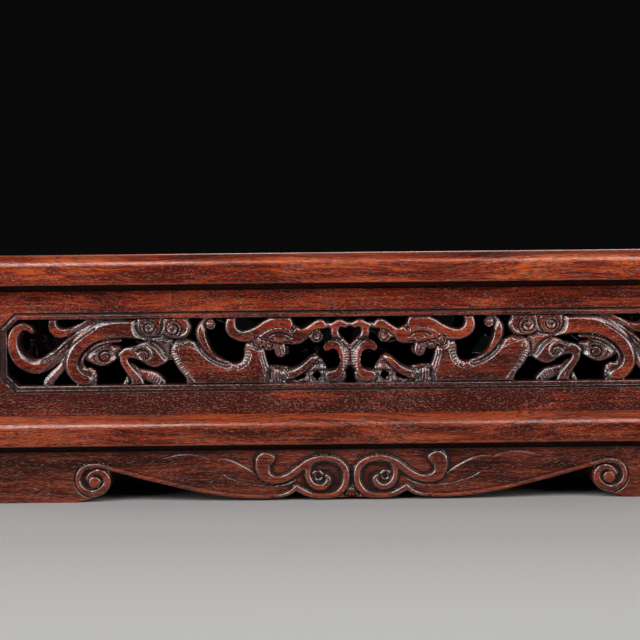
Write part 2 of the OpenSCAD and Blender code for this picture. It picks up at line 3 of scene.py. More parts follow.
import bpy
import numpy as np
from mathutils import Euler, Matrix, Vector
from mathutils.geometry import delaunay_2d_cdt


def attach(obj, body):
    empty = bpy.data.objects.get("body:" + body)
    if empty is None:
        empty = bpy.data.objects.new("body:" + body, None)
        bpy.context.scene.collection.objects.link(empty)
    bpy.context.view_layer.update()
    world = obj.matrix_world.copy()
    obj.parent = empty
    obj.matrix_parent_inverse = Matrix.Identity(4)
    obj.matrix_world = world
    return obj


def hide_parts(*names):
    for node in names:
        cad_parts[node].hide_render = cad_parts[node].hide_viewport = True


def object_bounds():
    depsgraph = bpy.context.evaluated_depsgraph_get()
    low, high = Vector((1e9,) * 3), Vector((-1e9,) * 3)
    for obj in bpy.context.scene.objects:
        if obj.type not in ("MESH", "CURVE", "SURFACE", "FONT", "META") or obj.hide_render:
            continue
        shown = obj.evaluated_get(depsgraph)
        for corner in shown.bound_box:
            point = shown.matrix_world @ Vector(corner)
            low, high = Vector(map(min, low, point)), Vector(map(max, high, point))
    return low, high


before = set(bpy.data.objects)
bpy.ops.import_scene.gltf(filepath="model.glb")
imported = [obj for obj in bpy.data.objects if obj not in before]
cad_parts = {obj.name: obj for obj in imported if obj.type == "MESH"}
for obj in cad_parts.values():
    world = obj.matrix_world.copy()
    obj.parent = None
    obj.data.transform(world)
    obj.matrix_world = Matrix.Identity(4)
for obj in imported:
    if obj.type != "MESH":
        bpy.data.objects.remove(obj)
cad_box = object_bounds()


# Aprons with bracket feet: one upright board under each side, sawn to a bellied and cusped lower edge
# that ends in rolled feet, then carved with an edge bead, scrolls and leaves. Dark, waxed hardwood,
# mitred at the corners and tongued into the moulding above.

# Lengths are millimetres. A side is given by its quarter turns from the front; even sides are long, odd ones
# are ends, and a pair of values holds one for the long sides and one for the ends.
MM = 0.001
SIDES = {"front": 0, "right": 1, "rear": 2, "left": 3}
TOP_HALF = [round(c / MM, 3) for c in cad_box[1][:2]]
TOP_OUT = TOP_HALF[::-1]
WALL_IN = 16.0
APRON_INSET = 4.5
APRON_TOP = 18.5
APRON_NECK_TOP = 20.5
APRON_STEP = 0.36
APRON_ROWS = 66
NECK_DEPTH = 2.0
FOOT_LENGTH = (45.5, 35.0)
SCROLL_U = [half - APRON_INSET - foot for half, foot in zip(TOP_HALF, FOOT_LENGTH)]
SCROLL_R = 6.3
SCROLL_Z = 8.1
BELLY_U = 33.0
BELLY_GAP = 0.8
CUSP_U = 20.4
EDGE_BEAD_W = 1.4
RING_U, RING_Z, RING_R = 10.2, 8.6, 5.2
FAR = 9.0


def cubic_spans(a, b, c, d, steps):
    """Catmull-Rom spans from b to c: the cubic whose tangents at both ends are half the chord between the
    neighbouring points, sampled at equal steps."""
    t = (np.arange(steps) / steps)[None, :, None]
    return (2 * b + (c - a) * t + (2 * a - 5 * b + 4 * c - d) * t**2 + (3 * b - a - 3 * c + d) * t**3) / 2


def open_curve(points, steps=12):
    """The cubic spans through a row of points, with the row's ends carried on straight."""
    p = np.asarray(points, float)
    q = np.vstack([2 * p[0] - p[1], p, 2 * p[-1] - p[-2]])
    spans = cubic_spans(q[:-3, None], q[1:-2, None], q[2:-1, None], q[3:, None], steps)
    return np.vstack([spans.reshape(-1, p.shape[1]), p[-1]])


def closed_curve(points, steps=8):
    """The cubic spans round a closed ring of points."""
    p = np.asarray(points, float)
    return cubic_spans(*(np.roll(p, n, 0)[:, None] for n in (1, 0, -1, -2)), steps).reshape(-1, 2)


def near(u, v, points):
    """The part of the grid close to the points, as a mask, because no form acts further off than FAR."""
    low = points[:, :2].min(0) - FAR
    high = points[:, :2].max(0) + FAR
    return (u > low[0]) & (u < high[0]) & (v > low[1]) & (v < high[1])


def stroke_distance(u, v, points):
    """Signed distance to a brush stroke, negative inside: the least, over the curve's points, of the
    distance to the point less half the stroke's width there."""
    c = open_curve(points)
    out = np.full(u.shape, FAR)
    m = near(u, v, c)
    gap = np.hypot(u[m][:, None] - c[None, :, 0], v[m][:, None] - c[None, :, 1])
    out[m] = np.minimum((gap - c[None, :, 2] / 2).min(1), FAR)
    return out


def ring_distance(x, y, p):
    """Signed distance to a closed ring of straight edges, negative inside: the least distance to the edges,
    with the sign from how often a ray to the right crosses them."""
    x, y = x[:, None], y[:, None]
    q = np.roll(p, -1, 0)
    run, rise = (q - p).T
    off_x, off_y = x - p[:, 0], y - p[:, 1]
    t = np.clip((off_x * run + off_y * rise) / np.maximum(run**2 + rise**2, 1e-9), 0, 1)
    gap = np.sqrt((off_x - t * run) ** 2 + (off_y - t * rise) ** 2).min(1)
    spans = (p[:, 1] > y) != (q[:, 1] > y)
    crossed = spans & (x < run * off_y / np.where(rise == 0, 1e-9, rise) + p[:, 0])
    return np.where(crossed.sum(1) % 2 == 1, -gap, gap)


def blob_distance(u, v, points):
    """Signed distance to the closed curve through the points, negative inside."""
    p = closed_curve(points)
    out = np.full(u.shape, FAR)
    m = near(u, v, p)
    out[m] = np.minimum(ring_distance(u[m], v[m], p), FAR)
    return out


def knob_distance(u, v, knob):
    """Signed distance to a disc given as centre and radius."""
    return np.minimum(np.hypot(u - knob[0], v - knob[1]) - knob[2], FAR)


def line_distance(u, v, points):
    """Distance to a line drawn through the points."""
    p = np.asarray(points, float)[:, :2]
    return stroke_distance(u, v, np.column_stack([p, np.zeros(len(p))]))


def spiral(u0, v0, r0, r1, start, turns, count):
    """Points of a spiral about a centre, from radius r0 at the start angle to radius r1. Negative turns run
    clockwise."""
    t = np.linspace(0, 1, count)
    a = radians(start) + 2 * np.pi * turns * t
    r = r0 + (r1 - r0) * t
    return np.column_stack([u0 + r * np.cos(a), v0 + r * np.sin(a)])


CUT_SINK = 0.4
CUT_STEEPNESS = 1.3


def lay(height, gap, level, shoulder, drop, face=None):
    """Lays one form over the relief. Inside its outline the surface climbs a quarter-round shoulder to its
    face or, where the distance to a drawn face is given, a swelling slope between outline and face. Outside,
    what lies higher is cut down in a V to the shoulder's foot."""
    inside = np.maximum(-gap, 0)
    if face is None:
        fall = 1 - np.sqrt(1 - (1 - np.clip(inside / shoulder, 0, 1)) ** 2)
    else:
        off = np.maximum(face, 0)
        fall = (off / (off + inside + 1e-4)) ** 1.5
    limit = level - drop - CUT_SINK + gap * CUT_STEEPNESS * drop / shoulder
    return np.where(gap < 0, level - drop * fall, np.minimum(height, limit))


def engrave(height, distance, width, depth):
    """Cuts a V line of the given width and depth where the distance to the line is small."""
    return height - depth * np.clip(1 - 2 * distance / width, 0, 1) ** 0.8


def raise_line(height, distance, width, rise):
    """Leaves a rounded ridge of the given width and rise where the distance to the line is small."""
    return height + rise * np.clip(1 - (2 * distance / width) ** 2, 0, 1)


def blended_least(a, b, round_off):
    """The lesser of two distances, eased where they are nearly equal, which fillets inner corners as a gouge
    does."""
    h = np.clip(0.5 + 0.5 * (b - a) / round_off, 0, 1)
    return b + (a - b) * h - round_off * h * (1 - h)


def window_mean(values, taps):
    """Mean over a square window, as two passes of a running sum along each axis."""
    for axis in (0, 0, 1, 1):
        pad = [(0, 0), (0, 0)]
        pad[axis] = (taps + 1, taps)
        total = np.cumsum(np.pad(values, pad, mode="edge"), axis=axis)
        count = values.shape[axis]
        ahead = np.take(total, np.arange(2 * taps + 1, 2 * taps + 1 + count), axis=axis)
        behind = np.take(total, np.arange(0, count), axis=axis)
        values = (ahead - behind) / (2 * taps + 1)
    return values


def recess_map(height, gap, rub, taps=4):
    """How far the surface lies below the mean of the wood around it, in millimetres: positive in cuts,
    negative on arrises. The positive part is painted dark, as wax and as shade in the cuts; edges that open
    to the air count for little, because neither wax nor shade is painted there. Rub is how far raised forms
    are rubbed bright."""
    wood = (gap < 0).astype(float)
    mean = window_mean(height * wood, taps) / np.maximum(window_mean(wood, taps), 1e-3)
    recess = np.where(gap < 0, mean - height, 0.0)
    return np.where(recess > 0, recess * np.clip(0.15 - gap / 1.6, 0, 1), recess * rub)


def steepness(height, x, z):
    """How steep the relief is, as the length of its slope over the grid of x and z."""
    return np.hypot(*np.gradient(height, z, x))


def turned(points, k):
    """Turns points drawn for the front by k quarter turns about the upright axis."""
    x, y, z = points.T
    return np.column_stack([[x, -y, -x, y][k], [y, x, -y, -x][k], z])


# The back of a carved board is painted dark as shade, which darkens the walls of its piercings towards the
# back.
BACK_SHADE_MARKS = (0.35, 0.0)
END_LEAN = 2.4


def carved_shell(x, z, gap, height, marks, face, back):
    """A carved board as one closed surface over a grid of x and z. Cells whose middle lies in the wood are
    kept, their rim is slid onto the outline along the gap's slope, every rim edge is walled straight back,
    and the back is a triangulation between the rim's points. The two ends lean in at 45 degrees."""
    rows, cols = gap.shape
    gz, gx = np.gradient(gap, z, x)
    hz, hx = np.gradient(height, z, x)
    kept = (gap[:-1, :-1] + gap[1:, :-1] + gap[:-1, 1:] + gap[1:, 1:]) < 0
    grid = np.arange(rows * cols).reshape(rows, cols)
    corners = np.stack([grid[:-1, :-1], grid[:-1, 1:], grid[1:, 1:], grid[1:, :-1]], -1)
    ring = np.pad(kept, 1)
    open_side = [~ring[:-2, 1:-1], ~ring[1:-1, 2:], ~ring[2:, 1:-1], ~ring[1:-1, :-2]]
    rim = np.concatenate([corners[kept & o][:, [n, (n + 1) % 4]] for n, o in enumerate(open_side)])
    rim_points = np.unique(rim)
    i, j = np.divmod(rim_points, cols)
    border = (i == 0) | (i == rows - 1) | (j == 0) | (j == cols - 1)
    free = rim_points[~border]
    px, pz = (a.ravel().copy() for a in np.meshgrid(x, z))
    py = height.ravel().copy()
    steep = np.maximum(gx.ravel()[free] ** 2 + gz.ravel()[free] ** 2, 0.3)
    limit = 0.8 * min(np.diff(x).min(), np.diff(z).min())
    slide = np.clip(gap.ravel()[free] / steep, -limit, limit)
    px[free] -= slide * gx.ravel()[free]
    pz[free] -= slide * gz.ravel()[free]
    py[free] -= slide * (gx * hx + gz * hz).ravel()[free]
    front = np.column_stack([px, face - py, pz])
    lean_from = x[-1] - END_LEAN * (back - face)
    rear_x = px[rim_points]
    pulled = np.sign(rear_x) * (lean_from + (np.abs(rear_x) - lean_from) * (END_LEAN - 1) / END_LEAN)
    rear_x = np.where(border & (np.abs(rear_x) > lean_from), pulled, rear_x)
    rear = np.column_stack([rear_x, np.full(len(rear_x), back), pz[rim_points]])
    used = np.unique(corners[kept])
    new_id = np.full(rows * cols, -1)
    new_id[used] = np.arange(len(used))
    rear_id = np.full(rows * cols, -1)
    rear_id[rim_points] = np.arange(len(rim_points))
    a, b = rim[:, 0], rim[:, 1]
    first = len(used)
    walls = np.column_stack([new_id[b], new_id[a], rear_id[a] + first, rear_id[b] + first])
    flat = delaunay_2d_cdt(np.column_stack([j, i]).astype(float).tolist(),
                           np.column_stack([rear_id[a], rear_id[b]]).tolist(), [], 0, 1e-6)
    source = np.array([o[0] for o in flat[3]])
    triangles = source[np.array(flat[2])]
    in_wood = kept[np.minimum(i[triangles].mean(1).astype(int), rows - 2),
                   np.minimum(j[triangles].mean(1).astype(int), cols - 2)]
    fill = triangles[in_wood][:, ::-1] + first
    faces = new_id[corners[kept]].tolist() + walls.tolist() + fill.tolist()
    rear_shade_marks = np.tile(BACK_SHADE_MARKS, (len(rear), 1))
    return np.vstack([front[used], rear]), faces, np.vstack([marks.reshape(-1, 2)[used], rear_shade_marks])


MITRE_MARK = 0.5
FINE_END = 0.4


def strip_shell(profile, half, out, marks):
    """A mitred strip: a closed profile of distance in and height, carried along the side. A point at distance
    d runs from -(half - d) to half - d, so both ends are cut at 45 degrees; the end faces are the profile."""
    d, z = np.asarray(profile, float).T
    n = len(d)
    s = np.array([-1, -1 + FINE_END / half, -0.5, 0, 0.5, 1 - FINE_END / half, 1])
    x = s[:, None] * (half - d)[None]
    points = np.column_stack([x.ravel(), np.tile(d - out, len(s)), np.tile(z, len(s))])
    i, j = np.meshgrid(np.arange(len(s) - 1), np.arange(n), indexing="ij")
    k = (j + 1) % n
    sides = np.stack([i * n + j, i * n + k, (i + 1) * n + k, (i + 1) * n + j], -1).reshape(-1, 4)
    faces = sides.tolist() + [list(range(n))[::-1], list(range((len(s) - 1) * n, len(s) * n))]
    if np.sum(d * np.roll(z, -1) - np.roll(d, -1) * z) > 0:
        faces = [f[::-1] for f in faces]
    marks = np.tile(np.asarray(marks, float), (len(s), 1))
    marks[:n, 0] = MITRE_MARK
    marks[-n:, 0] = MITRE_MARK
    return points, faces, marks


# The neck is painted dark as the shadow under the part above it.
NECK_SHADE_MARKS = (0.4, 0.0)


def neck_shell(kind, inset, low, high):
    """The plain upper edge of a board, set back by the neck's depth, as a mitred strip of square section,
    painted dark as the shadow under the part above.
    """
    square = [(inset + NECK_DEPTH, low), (WALL_IN, low), (WALL_IN, high), (inset + NECK_DEPTH, high)]
    return strip_shell(square, TOP_HALF[kind], TOP_OUT[kind], [NECK_SHADE_MARKS] * len(square))


SHARP_ANGLE = 38


def wooden_piece(name, k, shells, material, node):
    """Joins closed shells, drawn for the front, into one object on side k that stands for a node of the
    frame."""
    start = np.cumsum([0] + [len(s[0]) for s in shells])
    points = turned(np.vstack([s[0] for s in shells]), k) * MM
    faces = [[v + int(o) for v in f] for s, o in zip(shells, start) for f in s[1]]
    mesh = bpy.data.meshes.new(name)
    mesh.from_pydata(points.tolist(), [], faces)
    marks = np.vstack([s[2] for s in shells]).astype(np.float32)
    for column, mark in enumerate(("recess", "slope")):
        mesh.attributes.new(mark, "FLOAT", "POINT").data.foreach_set("value", marks[:, column].copy())
    mesh.materials.append(material)
    mesh.shade_smooth()
    mesh.set_sharp_from_angle(angle=radians(SHARP_ANGLE))
    piece = bpy.data.objects.new(name, mesh)
    bpy.context.scene.collection.objects.link(piece)
    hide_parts(node)
    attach(piece, "root")


class Shade:
    """One socket of a material's node tree. Arithmetic on it adds Math nodes."""

    def __init__(self, tree, socket=None):
        self.tree = tree
        self.socket = socket

    def node(self, kind, settings=None, inputs=None, out=0):
        """Adds a node, sets its settings, then its inputs by name or number, and returns an output."""
        n = self.tree.nodes.new(kind)
        for key, value in (settings or {}).items():
            if key == "stops":
                ramp = n.color_ramp.elements
                while len(ramp) < len(value):
                    ramp.new(0.5)
                for stop, (place, colour) in zip(ramp, value):
                    stop.position = place
                    stop.color = (*colour, 1.0)
            else:
                setattr(n, key, value)
        for key, value in (inputs or {}).items():
            if isinstance(value, Shade):
                self.tree.links.new(value.socket, n.inputs[key])
            else:
                n.inputs[key].default_value = value
        return Shade(self.tree, n.outputs[out] if n.outputs else None)

    def math(self, operation, a, b):
        """One Math node on two values."""
        return self.node("ShaderNodeMath", {"operation": operation}, {0: a, 1: b})

    def __add__(self, other):
        return self.math("ADD", self, other)

    __radd__ = __add__

    def __sub__(self, other):
        return self.math("SUBTRACT", self, other)

    def __rsub__(self, other):
        return self.math("SUBTRACT", other, self)

    def __mul__(self, other):
        return self.math("MULTIPLY", self, other)

    __rmul__ = __mul__

    def between(self, low, high):
        """0 below low, 1 above high, smooth between."""
        return self.node("ShaderNodeMapRange", {"interpolation_type": "SMOOTHSTEP"},
                         {"Value": self, "From Min": low, "From Max": high})

    def mixed(self, first, second):
        """The first colour where this value is 0 and the second where it is 1."""
        return self.node("ShaderNodeMix", {"data_type": "RGBA"}, {0: self, 6: first, 7: second}, out=2)


PORE_WAX = (0.014, 0.004, 0.003, 1.0)
# Pale pores: dust in them, with painted glints.
PORE_DUST_AND_GLINT = (0.35, 0.19, 0.15, 1.0)
# Dark of the steep cut slopes: painted shade, standing in for the dark they reflect.
SLOPE_SHADE = (0.014, 0.010, 0.009, 1.0)
# Near black of the cuts: dark wax and painted shade.
CUT_WAX_AND_SHADE = (0.006, 0.004, 0.0035, 1.0)
GRAIN_TURN = {"x": (0, 0, 0), "y": (0, 0, radians(90)), "z": (0, radians(90), 0)}


def waxed_hardwood(name, along, tones, speckle=1.0, sheen=0.20, deepen=0.0, pore_length=1.0):
    """Dense red-brown hardwood in a dark, a middle and a bright tone: slow bands and fine streaks drawn out
    along the grain, short open pores that hold dark wax, pale pores of dust with painted glints, a grey sheen
    and painted shade on the steep cut slopes, dark wax and painted shade where the recess mark is high, and
    arrises rubbed bright where it is low, a bright tone that also paints light where the marks ask for it.
    Speckle is the share of pale pores, sheen the roughness, pore_length a factor on the pores' length; deepen
    darkens the waist's foot."""
    dark, middle, bright = tones
    material = bpy.data.materials.new(name)
    material.use_nodes = True
    tree = material.node_tree
    tree.nodes.clear()
    w = Shade(tree)
    place = w.node("ShaderNodeTexCoord", out=3)
    straight = w.node("ShaderNodeMapping", {"vector_type": "TEXTURE"},
                      {"Vector": place, "Rotation": GRAIN_TURN[along], "Scale": (MM, MM, MM)})
    long_wave = w.node("ShaderNodeMapping", inputs={"Vector": straight, "Scale": (0.016, 0.03, 0.03)})
    wander = w.node("ShaderNodeTexNoise", inputs={"Vector": long_wave, "Scale": 1.0, "Detail": 1.0}) * 11.0
    sway = w.node("ShaderNodeCombineXYZ", inputs={"Y": wander, "Z": wander})
    grain = w.node("ShaderNodeVectorMath", {"operation": "ADD"}, {0: straight, 1: sway})

    def drawn(scale, detail, roughness, warp=0.0, shift=0.0):
        """Noise stretched along the grain, with its scale along and across it per millimetre."""
        stretched = w.node("ShaderNodeMapping", inputs={
            "Vector": grain, "Location": (shift, shift, shift), "Scale": scale})
        return w.node("ShaderNodeTexNoise", {"noise_dimensions": "3D"}, {
            "Vector": stretched, "Scale": 1.0, "Detail": detail, "Roughness": roughness, "Distortion": warp})

    bands = drawn((0.012, 0.16, 0.16), 3.0, 0.55, 0.8)
    streaks = drawn((0.03, 1.1, 1.1), 4.0, 0.62, 0.3, 7.0)
    fibres = drawn((0.09, 5.0, 5.0), 2.0, 0.6, 0.0, 3.0)
    cloud = drawn((0.03, 0.07, 0.07), 2.0, 0.5, 0.4, 19.0)
    pores = drawn((0.30 / pore_length, 3.1, 3.1), 1.0, 0.5, 0.25, 11.0)
    glints = drawn((0.45 / pore_length, 6.0, 6.0), 1.0, 0.5, 0.25, 31.0)
    height = w.node("ShaderNodeSeparateXYZ", inputs={"Vector": place}, out=2)
    low_down = 1.0 - height.between(0.040, 0.072)
    tone = bands * 0.9 + streaks * 1.15 + cloud * 0.8 - 0.925 - low_down * deepen
    stops = [(0.30, dark), (0.50, middle), (0.72, bright)]
    colour = w.node("ShaderNodeValToRGB", {"stops": stops}, {"Fac": tone})
    crowd = cloud.between(0.3, 0.7) * 0.05
    pore = (pores + crowd).between(0.58, 0.66)
    glint = (glints + crowd).between(0.62, 0.69) * speckle
    recess = w.node("ShaderNodeAttribute", {"attribute_name": "recess"}, out=2)
    slope = w.node("ShaderNodeAttribute", {"attribute_name": "slope"}, out=2)
    cut = recess.between(0.03, 0.35)
    worn_and_lit = (0.0 - recess).between(0.04, 0.30)
    # Steep cut slopes painted dark as shade.
    steep_shade = slope.between(0.5, 1.2) * (0.2 + streaks * 0.4 + pores * 0.4)
    fibre_tone = (*[c * 0.3 for c in dark], 1.0)
    worn_and_lit_tone = (*[min(1.0, c * 1.4) for c in bright], 1.0)
    colour = (fibres.between(0.35, 0.65) * 0.2).mixed(colour, fibre_tone)
    # Arrises rubbed bright; the same bright tone paints light where the marks ask for it, as on the
    # moulding's slope.
    colour = (worn_and_lit * (0.15 + streaks.between(0.35, 0.65) * 0.55)).mixed(colour, worn_and_lit_tone)
    colour = (pore * 0.75).mixed(colour, PORE_WAX)
    # Pale pores painted as dust and as glints.
    colour = (glint * 0.55).mixed(colour, PORE_DUST_AND_GLINT)
    colour = steep_shade.mixed(colour, SLOPE_SHADE)
    # Cuts and shaded places painted near black, as dark wax and as shade.
    colour = (cut * 0.85).mixed(colour, CUT_WAX_AND_SHADE)
    rough = sheen + pore * 0.15 + streaks * 0.08 - worn_and_lit * 0.04 + cut * 0.2
    silver = slope.between(0.15, 0.5) * (fibres + glints).between(0.74, 1.10)
    polish = 0.02 + worn_and_lit * 0.05 + silver - cut * 0.25
    depth = fibres * 0.25 + streaks * 0.35 - pore * 0.9
    bump = w.node("ShaderNodeBump", inputs={"Strength": 0.4, "Distance": 0.00022, "Height": depth})
    shader = w.node("ShaderNodeBsdfPrincipled", inputs={
        "Base Color": colour, "Roughness": rough, "Normal": bump, "Specular IOR Level": 0.12,
        "Coat Weight": polish, "Coat Roughness": 0.25, "Coat IOR": 2.4})
    w.node("ShaderNodeOutputMaterial", inputs={"Surface": shader})
    return material


def side_woods(name, tones, **finish):
    """The same wood twice: with its grain along the long sides, and along the ends."""
    return [waxed_hardwood(name + "_long", "x", tones, **finish),
            waxed_hardwood(name + "_end", "y", tones, **finish)]


def bow(a, b, c, count):
    """Points of a quadratic bow from a to c that leans towards b."""
    t = np.linspace(0, 1, count)[:, None]
    return (1 - t) ** 2 * np.array(a) + 2 * t * (1 - t) * np.array(b) + t**2 * np.array(c)


def apron_lower_edge(kind):
    """Half of the lower edge, from the foot's toe to the middle: a bow under the foot, the rolled end's arc,
    a cubic arch down to the belly, and two bows that meet in a cusp."""
    u = SCROLL_U[kind]
    a = np.radians(np.linspace(238, 150, 24))
    roll = np.column_stack([u + SCROLL_R * np.cos(a), SCROLL_Z + SCROLL_R * np.sin(a)])
    start = roll[-1] + [-0.2, 0.4]
    span = start[0] - BELLY_U
    t = np.linspace(0, 1, 60)[:, None]
    arch = ((1 - t) ** 3 * start
            + 3 * (1 - t) ** 2 * t * np.array([start[0] - span * 0.34, start[1] * 0.58])
            + 3 * (1 - t) * t**2 * np.array([start[0] - span * 0.68, BELLY_GAP])
            + t**3 * np.array([BELLY_U, BELLY_GAP]))
    return np.vstack([
        bow((u + 7, 0), (u + 1, 1.2), roll[0], 16),
        roll,
        arch,
        bow((BELLY_U - 1, BELLY_GAP), (CUSP_U + 3, BELLY_GAP), (CUSP_U, 3.4), 20),
        bow((CUSP_U - 0.3, 3.2), (CUSP_U - 4.4, BELLY_GAP), (10, BELLY_GAP), 20),
        bow((9, BELLY_GAP), (6, BELLY_GAP + 0.3), (-1, BELLY_GAP + 0.4), 10)])


def apron_wood_gap(kind, u, v):
    """Signed distance to the apron's lower edge, negative in the wood above it. The ring is closed far
    outside the board."""
    ring = np.vstack([[400, 0], apron_lower_edge(kind), [-60, BELLY_GAP + 0.4], [-60, 90], [400, 90]])
    return ring_distance(u.ravel(), v.ravel(), ring).reshape(u.shape)


# Half of an apron's carving, as distance from the middle, height and, for strokes, width. The foot's scroll
# is drawn about its own middle.
APRON_STRAND = [(31.6, 15.6, 4.6), (32.2, 14.2, 5.5), (32.2, 11.2, 4.9), (31.2, 8.9, 4.1),
                (28.2, 7.7, 3.2), (25, 8, 2.9), (22.4, 9.1, 2.8), (19.1, 11.4, 2.8), (15.4, 14, 2.6),
                (10.8, 15.3, 2.5), (6, 14.6, 2.5), (2.9, 12.2, 2.7), (1.95, 8.9, 2.7), (2.9, 4.9, 2.6),
                (5.9, 2.2, 2.3), (10, 1.6, 2), (14.5, 2, 2.2), (18.2, 3.7, 2.2), (19.9, 4.9, 1.8)]
APRON_STRAND_LOBE = (29.4, 15.3, 1.7)
APRON_CUSP = [(19.9, 4.9, 1.8), (21.2, 3.8, 1.8), (23, 2.7, 1.7), (25.4, 2, 1.4), (28.5, 1.6, 0.9)]
APRON_VALLEY = [(0, 13.4, 0.2), (0, 11, 1.6), (0, 8, 2.2), (0, 5, 2.6), (0, 2, 2.6)]
APRON_INNER_CURL = [(14.4, 14.2, 1.6), (15.3, 12.6, 2), (15.8, 10.6, 2.1), (15.6, 8.2, 2.2),
                    (14.3, 5.9, 2.4), (11.6, 4.7, 2.5), (9.2, 5.8, 2.4), (8.5, 7.6, 2), (9.2, 8.8, 1.5)]
APRON_LEAF = [(51.8, 15.7), (47.7, 15.9), (43.6, 14.9), (39.1, 12.8), (35.7, 10.7), (33.8, 8.6), (36, 7),
              (40, 7.3), (44.1, 8.6), (46.8, 10.2), (49.5, 12.8)]
APRON_FAR_LEAF = [(69.4, 15.2), (65.4, 16.7), (61.3, 17.4), (56.8, 17.2), (51.8, 15.6), (49, 12),
                  (55, 10.5), (63, 12)]
APRON_LEAF_LINE = [(46.8, 10.1), (44.1, 8.5), (39.5, 7), (35, 5.9), (28.2, 5.5), (23.6, 6.3), (20.8, 7.6)]
APRON_BUD = [(0, 5.4), (1.5, 3.4), (2.6, 1.9), (0, 1.5), (-2.6, 1.9), (-1.5, 3.4)]
APRON_BUD_CUTS = [[(0, 5), (tip / 2, 3.4), (tip, 1.6)] for tip in (-1.4, 0, 1.4)]
APRON_BUD_HALF = 3
FOOT_SCROLL = [(-9, 11.5, 1.4), (-6.5, 12.15, 1.4), (-4.2, 12.9, 1.6), (-1.6, 13.4, 1.8),
               (1.8, 13.1, 1.9), (4.4, 11.4, 2.0), (5.4, 8.5, 2.1), (4.8, 5.9, 2.2), (2.8, 4, 2.4),
               (0, 3.2, 2.7), (-2.8, 4.1, 2.9), (-4.6, 6.1, 2.8), (-4.9, 8.4, 2.6), (-3.7, 10.4, 2.4),
               (-1.6, 11.1, 2.2), (0.4, 10.4, 2.0), (1.9, 8.8, 1.6)]
FOOT_SCROLL_EYE = (-0.6, 7.3, 2.2)
APRON_RING_CURL = spiral(12.2, 8.6, 2.1, 1.2, -40, 1.2, 14)

# Leaves: outline, rise, the height at which they have sunk away, and how that height climbs past a distance.
APRON_LEAVES = [(APRON_FAR_LEAF, 0.4, 10.5, 60, 0.15), (APRON_LEAF, 0.5, 6.0, 42, 0.9)]
LEAF_SHOULDER = 0.55
LEAF_FADE = 5.5
RING_SINK = 0.45
VALLEY_SINK = 0.8
VALLEY_SHOULDER = 0.9
SCROLL_SINK = 0.9
SCROLL_GROUND_R = 5.6
SCROLL_REACH = 6.5
EDGE_BEAD_LOW = 0.1
EDGE_BEAD_RISE = 0.55
EDGE_GROOVE_IN = 1.7

# Finish: how strongly painted shade darkens a part, how much lighter a part is made, how its slopes shine,
# and how far that goes.
STRAND_END = 35
STRAND_SHINE = 0.68
LEAF_SHINE = 0.5
EDGE_SHINE = 0.3
EDGE_SHINE_W = 2.3
CUSP_HALF = 6
UPPER_SHADE = 0.3
UPPER_SHADE_FADE = 1.3
EDGE_BEAD_LIGHTEN = 0.15
RING_SHADE = 0.2


